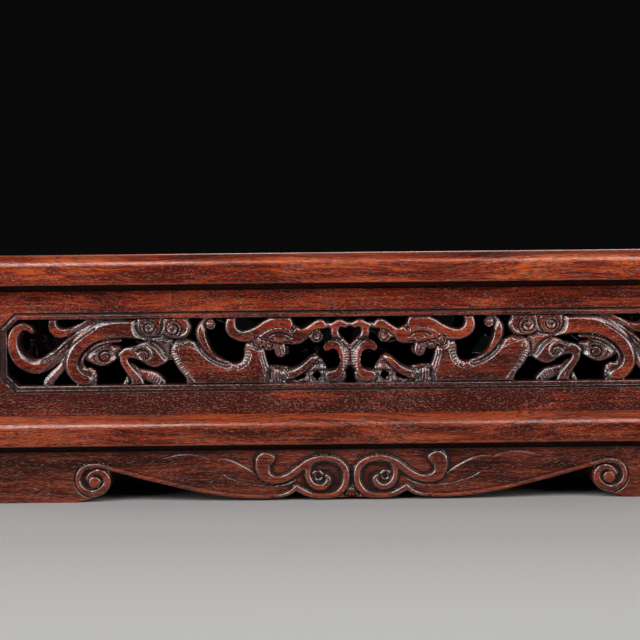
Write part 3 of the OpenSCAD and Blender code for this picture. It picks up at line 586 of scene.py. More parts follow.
def apron_carving(kind, x, z):
    """Relief of an apron: a bead rolled along the lower edge, two leaves that sink away below their upper
    edge, the strand that runs from its lobed head round the middle ring, the curl inside the ring, and the
    scroll on each foot. Returns the distance to the wood's edge, the relief, and the marks for the finish,
    which also paint shade into the cuts and under the moulding."""
    u, v = np.meshgrid(np.abs(x + 0.12 * np.sin(0.31 * x + 0.5)), z)
    gap = apron_wood_gap(kind, u, v)
    inward = -gap
    scroll_u = SCROLL_U[kind]
    ring_ground = np.clip(1.4 - np.hypot(u - RING_U, v - RING_Z) / RING_R, 0, 1)
    height = -RING_SINK * ring_ground**0.5
    if kind == 0:
        for leaf, rise, foot, bend, climb in APRON_LEAVES:
            inside = -blob_distance(u, v, leaf)
            above = v - (foot + climb * np.maximum(u - bend, 0))
            height += rise * np.clip(inside / LEAF_SHOULDER, 0, 1) * np.clip(above / LEAF_FADE, 0, 1)
        height = engrave(height, line_distance(u, v, APRON_LEAF_LINE), width=0.9, depth=0.48)
    along_edge = u < scroll_u - SCROLL_GROUND_R
    bead_r = EDGE_BEAD_W / 2
    bead = EDGE_BEAD_LOW + EDGE_BEAD_RISE * np.sqrt(np.clip(1 - ((inward - bead_r) / bead_r) ** 2, 0, 1))
    over_bead = engrave(height, np.abs(inward - EDGE_GROOVE_IN), width=0.8, depth=0.1)
    height = np.where(along_edge, np.where(inward < EDGE_BEAD_W, bead, over_bead), height)
    scroll_ground = np.hypot(u - scroll_u + 1.2, v - SCROLL_Z + 0.4) < SCROLL_GROUND_R
    height = np.where(scroll_ground, np.minimum(height, -SCROLL_SINK), height)
    wound = np.array(FOOT_SCROLL) + [scroll_u, 0, 0]
    eye = np.array(FOOT_SCROLL_EYE) + [scroll_u, 0, 0]
    scroll = np.minimum(stroke_distance(u, v, wound), knob_distance(u, v, eye))
    on_foot = u > scroll_u - SCROLL_REACH
    height = np.where(on_foot, lay(height, scroll, level=0.5, shoulder=1.1, drop=0.8), height)
    height = raise_line(height, line_distance(u, v, APRON_RING_CURL), width=0.8, rise=0.4)
    height -= VALLEY_SINK * np.clip(-stroke_distance(u, v, APRON_VALLEY) / VALLEY_SHOULDER, 0, 1)
    strand = stroke_distance(u, v, APRON_STRAND)
    strand = blended_least(strand, knob_distance(u, v, APRON_STRAND_LOBE), round_off=1.6)
    strand = blended_least(strand, stroke_distance(u, v, APRON_INNER_CURL), round_off=0.8)
    strand = blended_least(strand, stroke_distance(u, v, APRON_CUSP), round_off=0.4)
    height = lay(height, strand, level=1.1, shoulder=1.3, drop=0.9)
    height = lay(height, blob_distance(u, v, APRON_BUD), level=0.5, shoulder=0.8, drop=0.8)
    for cut in APRON_BUD_CUTS:
        height = engrave(height, line_distance(u, v, cut), width=0.8, depth=0.6)
    on_edge = along_edge & (inward < EDGE_SHINE_W) & (np.abs(u - CUSP_U) > CUSP_HALF)
    shine = np.where(on_edge, EDGE_SHINE, np.where(u < STRAND_END, STRAND_SHINE, LEAF_SHINE))
    slope = steepness(height, x, z) * shine
    # Painted shadow of the moulding on the apron's upper edge, fading downwards.
    recess = recess_map(height, gap, rub=0.65) + UPPER_SHADE * np.exp((v - APRON_TOP) / UPPER_SHADE_FADE)
    # The edge bead is made lighter, away from the middle bud.
    recess -= EDGE_BEAD_LIGHTEN * (inward < EDGE_BEAD_W) * (u > APRON_BUD_HALF)
    # Painted shade on the sunk ground inside the middle ring.
    recess += RING_SHADE * ring_ground * (height < 0)
    return gap, height, np.stack([recess, slope], -1)


BROWN = ((0.022, 0.0033, 0.0014), (0.085, 0.011, 0.0037), (0.185, 0.029, 0.009))
apron_wood = side_woods("apron_wood", BROWN, speckle=0.7)
for side, k in SIDES.items():
    kind = k % 2
    half = TOP_HALF[kind] - APRON_INSET
    apron_x = np.linspace(-half, half, int(2 * half / APRON_STEP) + 1)
    apron_z = np.linspace(0, APRON_TOP, APRON_ROWS)
    carved = carved_shell(apron_x, apron_z, *apron_carving(kind, apron_x, apron_z),
                          -TOP_OUT[kind] + APRON_INSET, -TOP_OUT[kind] + WALL_IN)
    neck = neck_shell(kind, APRON_INSET, APRON_TOP, APRON_NECK_TOP)
    wooden_piece("carved_apron_" + side, k, [carved, neck], apron_wood[kind],
                 "apron_" + side)


# Base moulding: four mitred strips of redder wood between aprons and waist. Each is planed to a flat face
# with a soft lower edge and a sloped upper one, and grooved above and below for the boards' tongues.

MOULD_INSET = 1.5
MOULD_Z = (20.5, 31.5)
MOULD_GROOVE_Z = (23.4, 28.6)
MOULD_SLOPE_Z = 28.8
MOULD_RUB_AND_LIGHT = 0.3
MOULD_SHINE = 0.31
TONGUE_GROOVE = (9.9, 13.1)
WAIST_INSET = 7.0


def tongue_groove(mouth, bottom):
    """Four sharp corners of the groove for a board's tongue, from the outside in, by the heights of its mouth
    and bottom."""
    outer, inner = TONGUE_GROOVE
    return [(outer, mouth, 0), (outer, bottom, 0), (inner, bottom, 0), (inner, mouth, 0)]


def softened(corners, steps=9):
    """A closed profile from corners of distance in, height and radius: each corner becomes a quadratic bow
    between the points one radius before and after it. Returns the profile and how far each point lies on a
    rubbed corner."""
    corners = np.asarray(corners, float)
    p, r = corners[:, :2], corners[:, 2:]
    before, after = np.roll(p, 1, 0), np.roll(p, -1, 0)
    a = p + (before - p) / np.linalg.norm(before - p, axis=1)[:, None] * r
    c = p + (after - p) / np.linalg.norm(after - p, axis=1)[:, None] * r
    t = np.linspace(0, 1, steps)[None, :, None]
    rounds = (1 - t) ** 2 * a[:, None] + 2 * t * (1 - t) * p[:, None] + t**2 * c[:, None]
    rubbed = np.sin(np.pi * t[..., 0]) * (r > 0)
    keep = np.broadcast_to((r > 0) | (np.arange(steps) == 0)[None], rounds.shape[:2])
    return rounds[keep], rubbed[keep]


mould_profile, mould_rubbed_and_lit = softened([
    (MOULD_INSET, MOULD_Z[0], 1.4), *tongue_groove(MOULD_Z[0], MOULD_GROOVE_Z[0]),
    (WALL_IN, MOULD_Z[0], 0.3), (WALL_IN, MOULD_Z[1], 0.3),
    *tongue_groove(MOULD_Z[1], MOULD_GROOVE_Z[1])[::-1],
    (WAIST_INSET - 0.3, MOULD_Z[1], 0.6), (MOULD_INSET, MOULD_SLOPE_Z, 2.6)])
# The whole sloped upper edge counts as rubbed: it is painted lighter as lit from above, on top of the wear at
# the rounded corners.
on_slope = (mould_profile[:, 0] < WAIST_INSET) & (mould_profile[:, 1] > MOULD_SLOPE_Z - 1)
mould_rubbed_and_lit = np.where(on_slope, 1.0, mould_rubbed_and_lit)
mould_marks = np.column_stack([-MOULD_RUB_AND_LIGHT * mould_rubbed_and_lit, MOULD_SHINE * mould_rubbed_and_lit])
RED = ((0.040, 0.0045, 0.0015), (0.145, 0.015, 0.004), (0.290, 0.045, 0.010))
mould_wood = side_woods("moulding_wood", RED, speckle=0.8)
for side, k in SIDES.items():
    kind = k % 2
    strip = strip_shell(mould_profile, TOP_HALF[kind], TOP_OUT[kind], mould_marks)
    wooden_piece("moulding_strip_" + side, k, [strip], mould_wood[kind], "moulding_" + side)


# Waist: one board on each side, pierced and carved in the solid. Two dragons face a heart scroll inside a
# long cut-cornered opening with a bead and a groove round it. The same dark red wood, waxed, black in the
# deep cuts from dark wax and painted shade, mitred at the corners and tongued into moulding and top.

WAIST_Z = (31.5, 76.7)
WAIST_NECK_TOP = 79.0
WAIST_GROUND = -1.7
WAIST_STEP = 0.285
WAIST_Z_STEP = 0.265
OPENING_Z = 42.5
OPENING_H = 24.0
OPENING_HALF = (125.0, 77.0)
CORNER_CUT = 4.0
BEAD_W = 1.8
BEAD_SINK = 0.75
BEAD_RISE = 0.6
GROOVE_W = 0.8
FIGURE_SINK = 0.6
FIGURE_LEAN = 1.2
FORM_ROUND = 0.6
EDGE_ROUND = 0.5
FORM_DROP = 1.1
FACE_DROP = 1.3
GROUND_SWELL = 0.75
GROUND_SWELL_W = 1.5
FRAME_LIP = 0.3
FRAME_DARKEN = 0.14
FRAME_END_DARKEN = 0.22
FRAME_END_W = 3
FRAME_SHINE = 0.75
FIGURE_DARKEN = 0.11
LOWER_SHADE = 0.14
LOWER_SHADE_FADE = 2.2

# Half of the figure, as distance from the middle, height over the opening's lower edge and, for strokes,
# width. Stroke, blob, wide and knob are forms, and a mass joins several: level, drawing, and the flat faces
# where they are drawn too. Lines and ridges have width, depth or rise, and path; combs have count, reach and
# path.
MIDDLE_SCROLLS = [
    ("mass", 0.2,
     [("stroke",
       [(8.6, 12.8, 3), (7.6, 13.8, 3.2), (6.2, 14.1, 3.4), (4.4, 13.3, 3.4), (2.9, 11.3, 3.2),
        (2.4, 9, 3), (2.4, 7.2, 3), (3, 5.2, 3.2), (4.4, 3.7, 3.6), (6.4, 3, 4.2), (8, 3, 3.8)]),
      ("stroke", [(2.4, 3.2, 2), (3.3, 1.6, 2.8), (6, 1, 2.4), (8.2, 1.2, 2.2)]),
      ("blob",
       [(-3, 12.6), (0.8, 13), (2.4, 12.4), (2.4, 8), (1.8, 5.4), (0.9, 5), (0.3, 6.2), (-3, 6.6)])],
     [[(8.6, 12.9, 2), (7.5, 13.8, 2.6), (6.1, 13.8, 2.8), (4.8, 12.8, 2.5), (3.8, 10.9, 2),
       (3.4, 8.8, 1.7), (3.4, 6.9, 1.7), (3.9, 5, 1.8), (5, 3.2, 2.2), (7.4, 2.4, 2.4)]]),
    ("line", 3.4, 0.6, [(0, 13.4), (0, 10), (0, 5.4)]),
    ("comb", 10, 0.9, [(2.7, 13.4), (1.7, 10.8), (1.5, 8), (1.9, 5.0)]),
    ("line", 0.8, 0.5, [(0, 13.4), (0, 10), (0, 5.4)])]
DRAGON_FORELEG = [
    ("mass", -0.6,
     [("knob", (13.6, 1.2, 0.7)),
      ("knob", (11, 1.2, 0.7)),
      ("knob", (13.5, 4.3, 0.6)),
      ("knob", (11.1, 4.3, 0.6))]),
    ("stroke", -0.5, [(15.6, 5.6, 2.6), (15.1, 2.4, 2.6), (15.3, -0.8, 3.4)]),
    ("stroke", -0.2,
     [(13, 9.2, 2.6), (11.7, 7.8, 2.8), (10.5, 5.8, 2.8), (9.8, 4, 2.6), (9.8, -0.8, 2.8)]),
    ("stroke", -0.4, [(17, 4.6, 2.4), (14.4, 5.8, 3), (11.4, 5.6, 2.4)]),
    ("line", 0.6, 0.4, [(15, 5), (13.4, 6), (11.6, 5.6)]),
    ("stroke", -0.8,
     [(24, 0.4, 1.6), (21.8, 0.9, 1.8), (19.4, 0.3, 1.8), (17.2, 0.9, 2), (15, 0.3, 2), (12.2, 0.2, 1.8),
      (9.4, 0.3, 2)]),
    ("stroke", -0.5, [(29, 5.2, 2.6), (26, 5.4, 2.2), (22.6, 5, 1.8)]),
    ("stroke", 0.1,
     [(25.6, 2.9, 3.2), (23, 3.1, 3.8), (20, 4, 3.8), (17.4, 5.4, 3.4), (15.3, 7.4, 3), (13.9, 8.9, 2.6),
      (12.8, 9.2, 2.4)],
     [[(25, 2.5, 1.6), (22.6, 2.6, 2), (20, 3.3, 1.8), (17.6, 4.7, 1.6), (15.7, 6.7, 1.4),
       (14, 8.4, 1.2)]]),
    ("line", 0.7, 0.6, [(23.4, 5.2), (22.8, 4), (23, 2.4)])]
DRAGON_BREAST = [
    ("wide", 0.1,
     [(58, -1), (60.4, 2.4), (63.6, 6.4), (65.4, 10.8), (64.6, 15), (61.2, 17), (56.2, 15.4),
      (50.4, 11.6), (46, 8.7), (42.8, 7.6), (40.2, 8.1), (38.9, 10.4), (38.7, 13.2), (37.4, 15.2),
      (34, 15), (31.4, 12.8), (30.6, 10), (30, 8), (28.8, 5), (28.6, 1), (32, -1.4), (45, -1.4)]),
    ("line", 0.6, 0.45, [(62.7, 14.2), (63, 10.9), (61.4, 7.6), (58.9, 4.2), (56.6, 1)]),
    ("line", 0.6, 0.45,
     [(61, 14.6), (56.9, 13.2), (51.6, 9.7), (47.2, 6.8), (43.4, 5.2), (40, 5.6), (37.4, 7.6),
      (36.4, 10.4), (36.2, 13)]),
    ("line", 0.6, 0.4, [(33.2, 12.4), (33, 9.8), (32, 6.6), (31.2, 3)]),
    ("line", 0.6, 0.35, [(32.1, 12), (31.9, 9.4), (30.9, 6.4), (30.1, 3)]),
    ("comb", 14, 0.9, [(63.9, 14.4), (64.2, 10.9), (62.5, 7), (60.2, 3.8)]),
    ("comb", 10, 0.9, [(37.6, 14), (37.7, 10.8), (38.8, 7.8), (41, 6.5)]),
    ("blob", -0.15,
     [(29.4, -0.6), (29.3, 2), (28.5, 5.2), (26.8, 5.4), (25, 4.9), (24.8, 2.2), (25.2, -0.6)],
     [[(29.2, -0.6, 0.4), (29, 2, 0.4), (28.4, 5, 0.4)]]),
    ("comb", 5, 3.2, [(29.2, 2.4), (27, 2.5), (25.1, 2.6)]),
    ("stroke", 0.15,
     [(44.8, 7.4, 0.6), (47.6, 8.8, 1.1), (50.4, 10.9, 2.0), (52.8, 14.2, 3.4), (54.3, 18, 4.2),
      (54, 20.6, 3.8), (52.6, 22.4, 3.2), (50.8, 22.8, 2.6)],
     [[(52.4, 22.2, 1), (53.7, 20.6, 1.6), (54, 18.2, 1.8), (53.2, 15.4, 1.6), (51.6, 12.8, 1.2),
       (49.2, 10.3, 0.6)]]),
    ("knob", 0.2, (50.6, 21.6, 1.9)),
    ("line", 0.7, 0.6, spiral(50.6, 21.5, 1.3, 1.0, 60, 0.8, 9))]
HEADS_AND_HEART = [
    ("stroke", -0.45, [(5.4, 17.2, 3.2), (4.6, 16, 3.4), (2.4, 14, 3.2), (0.2, 12, 3)]),
    ("line", 0.6, 0.4, [(4.4, 16), (2.4, 14), (0.2, 11.8)]),
    ("stroke", -0.3, [(25.2, 10.6, 2), (23.4, 11.2, 1.8), (23, 13, 1.2)]),
    ("mass", 0.2,
     [("blob",
       [(33.5, 14.2), (34.8, 17.5), (31.5, 21.5), (27.5, 24.2), (22.6, 24.6), (20.7, 22), (18.6, 20.4),
        (16.4, 19.2), (16, 16.8), (17.4, 14.8), (20.2, 14.2), (23.4, 14.4), (27, 14), (30, 13.6)]),
      ("stroke",
       [(22, 16.4, 4.4), (19.2, 16.6, 5), (17.2, 17.6, 4.2), (15.4, 18.8, 3.7), (13.6, 20.2, 3.5),
        (11.8, 21.2, 3.9), (10.7, 21.3, 4)]),
      ("knob", (12.5, 17, 2.5)),
      ("stroke",
       [(1.9, 20.9, 2.2), (3, 21.6, 3), (4.4, 21.5, 3.3), (5.4, 20.5, 3.4), (5.7, 18.8, 3.3),
        (5.3, 17.2, 3.1), (4.8, 16.2, 3)]),
      ("stroke", [(-1.6, 21.3, 2), (1.6, 21.3, 2)]),
      ("stroke", [(5.6, 20.8, 2.4), (9.6, 21, 2.4)]),
      ("stroke", [(28.6, 15.8, 3.6), (26.4, 14.6, 4.4), (25.5, 12.4, 4.4), (25.3, 11.4, 4.2)]),
      ("knob", (33.4, 15.2, 1.9)),
      ("knob", (29.6, 13.7, 1.8)),
      ("stroke",
       [(43, 24.4, 3.2), (43.6, 21.4, 4), (42.8, 19, 4.4), (40, 17.4, 4.2), (36.6, 17.6, 4.6),
        (33.2, 19, 4.8), (29.8, 21, 5), (26, 22, 5), (22.6, 21.8, 4.4)])]),
    ("line", 0.9, 0.8, [(29.6, 17.2), (27.5, 18.3), (25, 18.4), (22.6, 17.7), (21.4, 16.6)]),
    ("line", 0.6, 0.4, [(27.2, 16.5), (25.4, 16.1), (23.6, 16.2)]),
    ("line", 0.9, 0.8, [(31.4, 15.9), (27.6, 14.9), (25, 14.4), (23, 15.1), (21.2, 14.7)]),
    ("line", 2.0, 1.1, [(20.4, 23.4), (19.9, 21.2), (21, 19.4)]),
    ("line", 2.4, 0.7, [(0, 23.2), (0, 21.6), (0, 19.8)]),
    ("line", 2.4, 0.7, [(8.2, 23.2), (8, 21), (7.8, 19)]),
    ("line", 1.0, 0.55, [(16.4, 16), (14.9, 17.6), (13.3, 19), (11.4, 19.5), (9.6, 19.3)]),
    ("line", 0.8, 0.6, spiral(12.5, 16.9, 1.9, 1.0, 60, 1.1, 13)),
    ("ridge", 0.9, 0.3, spiral(12.5, 16.9, 1.5, 0.4, 60, 1.2, 13)),
    ("line", 0.6, 0.45, [(36.4, 16.2), (33.2, 17.4), (30.4, 19.2), (27, 20.2), (23.4, 20)]),
    ("line", 0.5, 0.4, [(27.2, 14), (26.4, 12.6), (26, 11)]),
    ("line", 0.5, 0.4, [(25.2, 13.6), (24.8, 12.4), (24.6, 11)]),
    ("line", 0.6, 0.5, [(41.2, 22.4), (40.6, 22.8), (40.8, 21.6)]),
    ("line", 0.8, 0.7, spiral(33.5, 15.2, 1.8, 0.9, 30, 1.1, 11)),
    ("line", 0.8, 0.7, spiral(29.6, 13.8, 1.5, 0.8, 120, 1.1, 11))]
CLOUDS = [
    ("mass", 0.0,
     [("blob",
       [(77.5, 21.5), (76.8, 19), (74.5, 17.4), (71.5, 17.4), (68.4, 18), (67.6, 20.5), (67.6, 22.5),
        (68, 24.8), (76.4, 24.8)]),
      ("blob",
       [(68.4, 21.5), (68.2, 18.6), (66, 17), (63, 16.6), (59.8, 17), (58, 19), (57.6, 21), (58.4, 23),
        (60, 24.8), (67, 24.8)])]),
    ("line", 1.3, 0.9, [(69, 24.4), (68.5, 22), (68.9, 19.6), (70, 17.6)]),
    ("ridge", 1.0, 0.5, spiral(64.6, 20.3, 2.9, 0.7, 235, -1.6, 18)),
    ("line", 0.7, 0.5, spiral(64.6, 20.3, 3.5, 1.5, 235, -1.4, 18)),
    ("ridge", 1.0, 0.5, spiral(73.3, 20.8, 2.6, 0.7, 300, 1.6, 18)),
    ("line", 0.7, 0.5, spiral(73.3, 20.8, 3.2, 1.4, 300, 1.4, 18)),
    ("ridge", 0.8, 0.35, [(61.4, 24.2), (59.6, 23), (58.8, 21), (59.3, 18.9), (61, 17.6)])]
DRAGON_SHOULDER = [
    ("stroke", -0.7,
     [(79.2, 6.4, 2.4), (77.4, 4.4, 3.2), (74.6, 3.4, 4), (71.6, 2.4, 4.4), (69.2, 0.7, 3.6)]),
    ("comb", 10, 1.8, [(76.2, 3.9), (73.4, 3.1), (69.4, 1.2)]),
    ("stroke", -0.3, [(79.6, 3.6, 2.4), (81.2, 1.6, 2.2), (82.4, -0.8, 2.2)]),
    ("stroke", -0.1, [(73, 17.6, 3.4), (69.6, 16.6, 5), (66.6, 14.4, 5), (65.4, 10.4, 3)]),
    ("line", 0.7, 0.6, [(73.4, 16.9), (70.8, 15.6), (68.6, 13.4), (66.8, 10.6)]),
    ("mass", 0.05,
     [("blob",
       [(84.8, 10.6), (82.5, 13.4), (79, 14), (76, 15.4), (73.2, 15.8), (70.4, 14.6), (68.2, 12.2),
        (66.2, 9.2), (68.2, 7.2), (71.2, 6.2), (74, 7), (76.6, 8.6), (79.6, 9.6), (81.5, 9.2)]),
      ("stroke",
       [(77, 12.8, 3), (79.6, 12.2, 3.2), (81.8, 11.2, 3.4), (82.5, 9, 3.4), (81.2, 6.6, 3.4),
        (79.2, 4, 3.6), (77.8, 1.6, 4.4), (77.4, -0.8, 5.4)])]),
    ("line", 2.6, 1.1, [(72.6, 15.4), (70, 13.6), (67.8, 10.6), (66.2, 8.8)]),
    ("ridge", 0.9, 0.45,
     [(79.4, 12.6), (77.2, 13.4), (75, 13.9), (72.8, 12.2), (72.6, 9.8), (75, 8.6), (76.9, 9.8),
      (76.7, 11.4), (75.2, 11.9)]),
    ("line", 0.8, 0.6, [(77.8, 11.9), (76, 12.8), (74, 12), (73.5, 10.2), (75, 9.5), (76.1, 10.4)]),
    ("line", 0.6, 0.4, [(82.8, 3), (80.2, 2.6), (79.6, 0.6)]),
    ("line", 0.5, 0.4, [(78, 3), (77.6, 1.4), (77.8, 0)])]
DRAGON_REAR = [
    ("stroke", -0.05,
     [(115.9, 19.7, 2), (117.2, 21, 2.6), (119.6, 21.5, 3.4), (122.4, 18.9, 4.4), (122.9, 14.2, 4.6),
      (120.8, 9.8, 5), (116.6, 7.3, 5.2), (112.2, 7.5, 5.4), (107.5, 10.4, 5), (103.4, 14, 4.6),
      (99.5, 17.5, 4.4), (94.5, 20.6, 4.4), (88, 21.6, 4)],
     [[(116.1, 20, 1), (117.4, 21, 1.3), (119.7, 21.4, 1.8), (122.5, 18.8, 2.4), (123, 14.2, 2.6),
       (121.4, 9.4, 2.6), (117.6, 6.5, 2.8), (113.4, 6, 3), (109.6, 7.6, 2.4), (106.6, 9.8, 1.6),
       (103.6, 12.4, 1)],
      [(107, 11.9, 0.8), (103, 15.8, 1), (99, 19.2, 1), (94.6, 21.9, 1)]]),
    ("line", 1.0, 1.3,
     [(112.4, 8.6), (108.4, 10.7), (104.6, 13.8), (100.8, 17.2), (96.9, 20.2), (93.9, 22.2), (90.8, 23)]),
    ("stroke", 0.05,
     [(108, 24.8, 2.6), (108, 21.8, 3.4), (106.8, 19.8, 4.2), (104.6, 19.2, 3.8), (101.5, 20, 2.8),
      (98, 21.6, 2), (95, 23.2, 2), (91, 24.6, 2.4)],
     [[(108.3, 23, 1.8), (108.2, 21.2, 2.4), (106.9, 19.4, 2.9), (104.8, 18.9, 2.3), (102, 19.8, 1.1)]]),
    ("stroke", -0.9,
     [(103.4, 10.8, 1.4), (105.2, 6.8, 2.4), (108, 3.8, 3.2), (110, 1.2, 3.6), (110.4, -0.8, 3.8)]),
    ("comb", 9, 1.6, [(104.8, 7.6), (107.4, 4.4), (110.2, 0.6)]),
    ("mass", 0.0,
     [("blob",
       [(97.2, 10), (95.4, 13), (92.6, 15), (89.8, 15.6), (86.5, 14.6), (83.5, 13.6), (84.5, 10.2),
        (86.5, 8.4), (89, 7), (92, 7), (94.7, 8)]),
      ("stroke",
       [(84, 16.2, 1.5), (88.9, 15.9, 1.7), (93.2, 14.6, 1.7), (96.6, 11.9, 1.7), (98.1, 9, 1.7),
        (98, 7, 1.7), (96.9, 5.2, 1.6)])],
     [[(93.2, 8.7, 0.8), (91.4, 8, 1.4), (89.4, 7.9, 1.6), (87.2, 8.9, 1.6), (86, 10.6, 1.3),
       (85.6, 12.4, 1)],
      [(88.6, 12.4, 1.4), (90.6, 11.6, 1.8), (90.6, 10, 2)],
      [(85, 15.9, 0.3), (88.8, 15.6, 0.4), (92.9, 14.3, 0.4), (96.2, 11.7, 0.4), (97.6, 9, 0.4),
       (97.6, 7, 0.4), (96.6, 5.4, 0.3)]]),
    ("line", 2.4, 0.9, [(96.9, 8.9), (95.7, 11), (93.7, 12.8), (91, 14.1), (88, 14.7)]),
    ("ridge", 0.9, 0.5,
     [(86.8, 12.7), (89.6, 13.3), (91.9, 12.2), (92.4, 10), (90.9, 8.3), (88.4, 8.1), (86.5, 9.5),
      (86.9, 11.3), (88.8, 11.8)]),
    ("line", 0.9, 0.7,
     [(88, 12.6), (89.8, 12.4), (91.2, 11.4), (91.4, 9.8), (90.2, 8.9), (88.6, 9), (87.7, 10.2),
      (88.2, 11)]),
    ("stroke", -0.7, [(97, 5.6, 1.6), (94.6, 4.8, 2.6), (94, 2.4, 2.6), (94.6, -0.8, 2.6)]),
    ("comb", 6, 1.3, [(95.6, 5.2), (94.2, 3.8), (94.2, 0.4)]),
    ("stroke", 0.15,
     [(75, 19.9, 7.4), (78, 20, 7), (84, 20.4, 6.8), (90, 20, 6.8), (95.2, 17.8, 6), (99.3, 14, 5.4),
      (101.4, 9.8, 5.2), (101.2, 5.8, 5.4), (98.6, 2.6, 5.2), (96, 1.8, 4.6)],
     [[(75, 19.9, 5), (80, 20, 4.8), (84, 20.1, 4.6), (88, 19.7, 4.2), (92, 18.4, 3.6), (95.7, 16, 3.2),
       (98.9, 12.9, 3), (100.9, 9.4, 3), (101, 6, 3.2), (99, 3, 3.2), (96.8, 2, 2.8)]]),
    ("line", 0.8, 0.6, [(102.6, 13.5), (99.9, 15.8), (96.9, 18.1), (93, 20.6)])]
SHORT_TAIL = [
    ("stroke", -0.1, [(63.6, 12, 4), (65.8, 14.8, 4.4), (65.4, 18, 4)]),
    ("stroke", -0.1, [(66.4, 18.2, 3), (69.8, 20.4, 3), (73, 22, 3.4), (76, 24.8, 3.4)]),
    ("stroke", 0.0,
     [(60.4, 2, 5), (65, 1.4, 5), (69.5, 2.4, 4.6), (73.4, 5.4, 5), (75, 10, 5), (73.4, 14, 4.6),
      (70, 15.2, 3.6), (68.2, 12.8, 2.8), (69.2, 10.6, 2.2)],
     [[(62, 1.6, 2), (66, 1.4, 2.2), (70, 2.4, 2.4), (73.8, 5.4, 2.6), (75.2, 9.8, 2.4), (73.6, 13.6, 2),
       (70.4, 14.8, 1.6)]]),
    ("line", 0.8, 0.7, [(63, 3.2), (67, 3.4), (70.6, 5.2), (72.8, 8.6), (72.6, 11.8)])]
FORE_FIGURE = DRAGON_FORELEG + DRAGON_BREAST + CLOUDS + HEADS_AND_HEART + MIDDLE_SCROLLS
FIGURE = (DRAGON_REAR + DRAGON_SHOULDER + FORE_FIGURE, SHORT_TAIL + FORE_FIGURE)
DISTANCE = {"stroke": stroke_distance, "blob": blob_distance, "wide": blob_distance, "knob": knob_distance}
SHOULDER = {"stroke": 1.7, "blob": 1.7, "mass": 1.7, "knob": 1.8, "wide": 2.4}


def combed(height, u, v, count, reach, path):
    """Cuts a row of short lines across a path, evenly spaced along it, each reaching as far to both sides."""
    c = open_curve(path, 24)
    picks = np.linspace(0, len(c) - 2, count).astype(int)
    run = c[picks + 1] - c[picks]
    across = np.column_stack([-run[:, 1], run[:, 0]]) / np.linalg.norm(run, axis=1)[:, None] * reach
    width = np.linalg.norm(np.diff(c, axis=0), axis=1).sum() / (count - 1)
    for p, n in zip(c[picks], across):
        height = engrave(height, line_distance(u, v, [p - n, p, p + n]), width, 0.36 * width)
    return height


def waist_carving(kind, x, z):
    """Relief of a waist board: each form of the figure is laid over those before it and takes its own lines
    and combed cuts; last, the frame with its bead and groove is laid round the opening. Returns the distance
    to the wood's edge, the relief, and the marks for the finish, which also paint shade into the cuts and
    towards the foot of the opening."""
    wandered = x + 0.14 * np.sin(0.23 * x + 0.8) + 0.08 * np.sin(0.61 * x)
    u, v = np.meshgrid(np.abs(wandered), z - OPENING_Z)
    half = OPENING_HALF[kind]
    off = np.maximum.reduce([u - half, -v, v - OPENING_H, (u - half - v + CORNER_CUT) / 2**0.5,
                             (u - half + v - OPENING_H + CORNER_CUT) / 2**0.5])
    gap = -off
    height = np.full(u.shape, WAIST_GROUND)
    for form, size, *rest in FIGURE[kind]:
        if form == "line":
            depth, path = rest
            height = np.where(form_gap < 0, engrave(height, line_distance(u, v, path), size, depth), height)
        elif form == "ridge":
            rise, path = rest
            height = np.where(form_gap < 0, raise_line(height, line_distance(u, v, path), size, rise), height)
        elif form == "comb":
            reach, path = rest
            height = np.where(form_gap < 0, combed(height, u, v, size, reach, path), height)
        else:
            drawing, *faces = rest
            form_gap = np.full(u.shape, FAR)
            for shape, points in drawing if form == "mass" else [(form, drawing)]:
                form_gap = blended_least(form_gap, DISTANCE[shape](u, v, points), FORM_ROUND)
            face = np.minimum.reduce([stroke_distance(u, v, f) for f in faces[0]]) if faces else None
            drop = FACE_DROP if faces or form == "wide" else FORM_DROP
            height = lay(height, form_gap, size, SHOULDER[form], drop, face)
            gap = blended_least(gap, form_gap, EDGE_ROUND)
    height = np.maximum(height, WAIST_GROUND + GROUND_SWELL * np.clip(-gap / GROUND_SWELL_W, 0, 1))
    bead_r = BEAD_W / 2
    bead = -BEAD_SINK + BEAD_RISE * np.sqrt(np.clip(1 - ((off - bead_r) / bead_r) ** 2, 0, 1))
    groove = -BEAD_SINK * np.sin(np.pi * np.clip((off - BEAD_W) / GROOVE_W, 0, 1)) ** 0.7
    figure = np.minimum(height, -FIGURE_SINK - off * FIGURE_LEAN)
    height = np.where(off >= 0, np.where(off < BEAD_W, bead, groove), figure)
    framing = (off > -FRAME_LIP) & (off < BEAD_W + GROOVE_W)
    recess = recess_map(height, gap, rub=0.45)
    # The bead and groove round the opening are made darker, more so at its ends.
    recess += FRAME_DARKEN * framing + FRAME_END_DARKEN * (framing & (u > half - FRAME_END_W))
    # The figure is made darker all over, with painted shade deepening towards the foot of the opening.
    recess += (FIGURE_DARKEN + LOWER_SHADE * np.exp(-v / LOWER_SHADE_FADE)) * (off < -FRAME_LIP)
    slope = steepness(height, x, z) * np.where(framing, FRAME_SHINE, 1.0)
    return gap, height, np.stack([recess, slope], -1)


def board_grid(half, fine_half, step, z0, z1, fine_z0, fine_z1, z_step):
    """Grid lines of a board: close together where it is carved, far apart on its flat bands."""
    fine = np.linspace(-fine_half, fine_half, int(2 * fine_half / step) + 1)
    end = np.linspace(fine_half, half, 4)[1:]
    low = np.linspace(z0, fine_z0, 5)[:-1]
    high = np.linspace(fine_z1, z1, 5)[1:]
    rise = np.linspace(fine_z0, fine_z1, int((fine_z1 - fine_z0) / z_step) + 1)
    return np.concatenate([-end[::-1], fine, end]), np.concatenate([low, rise, high])


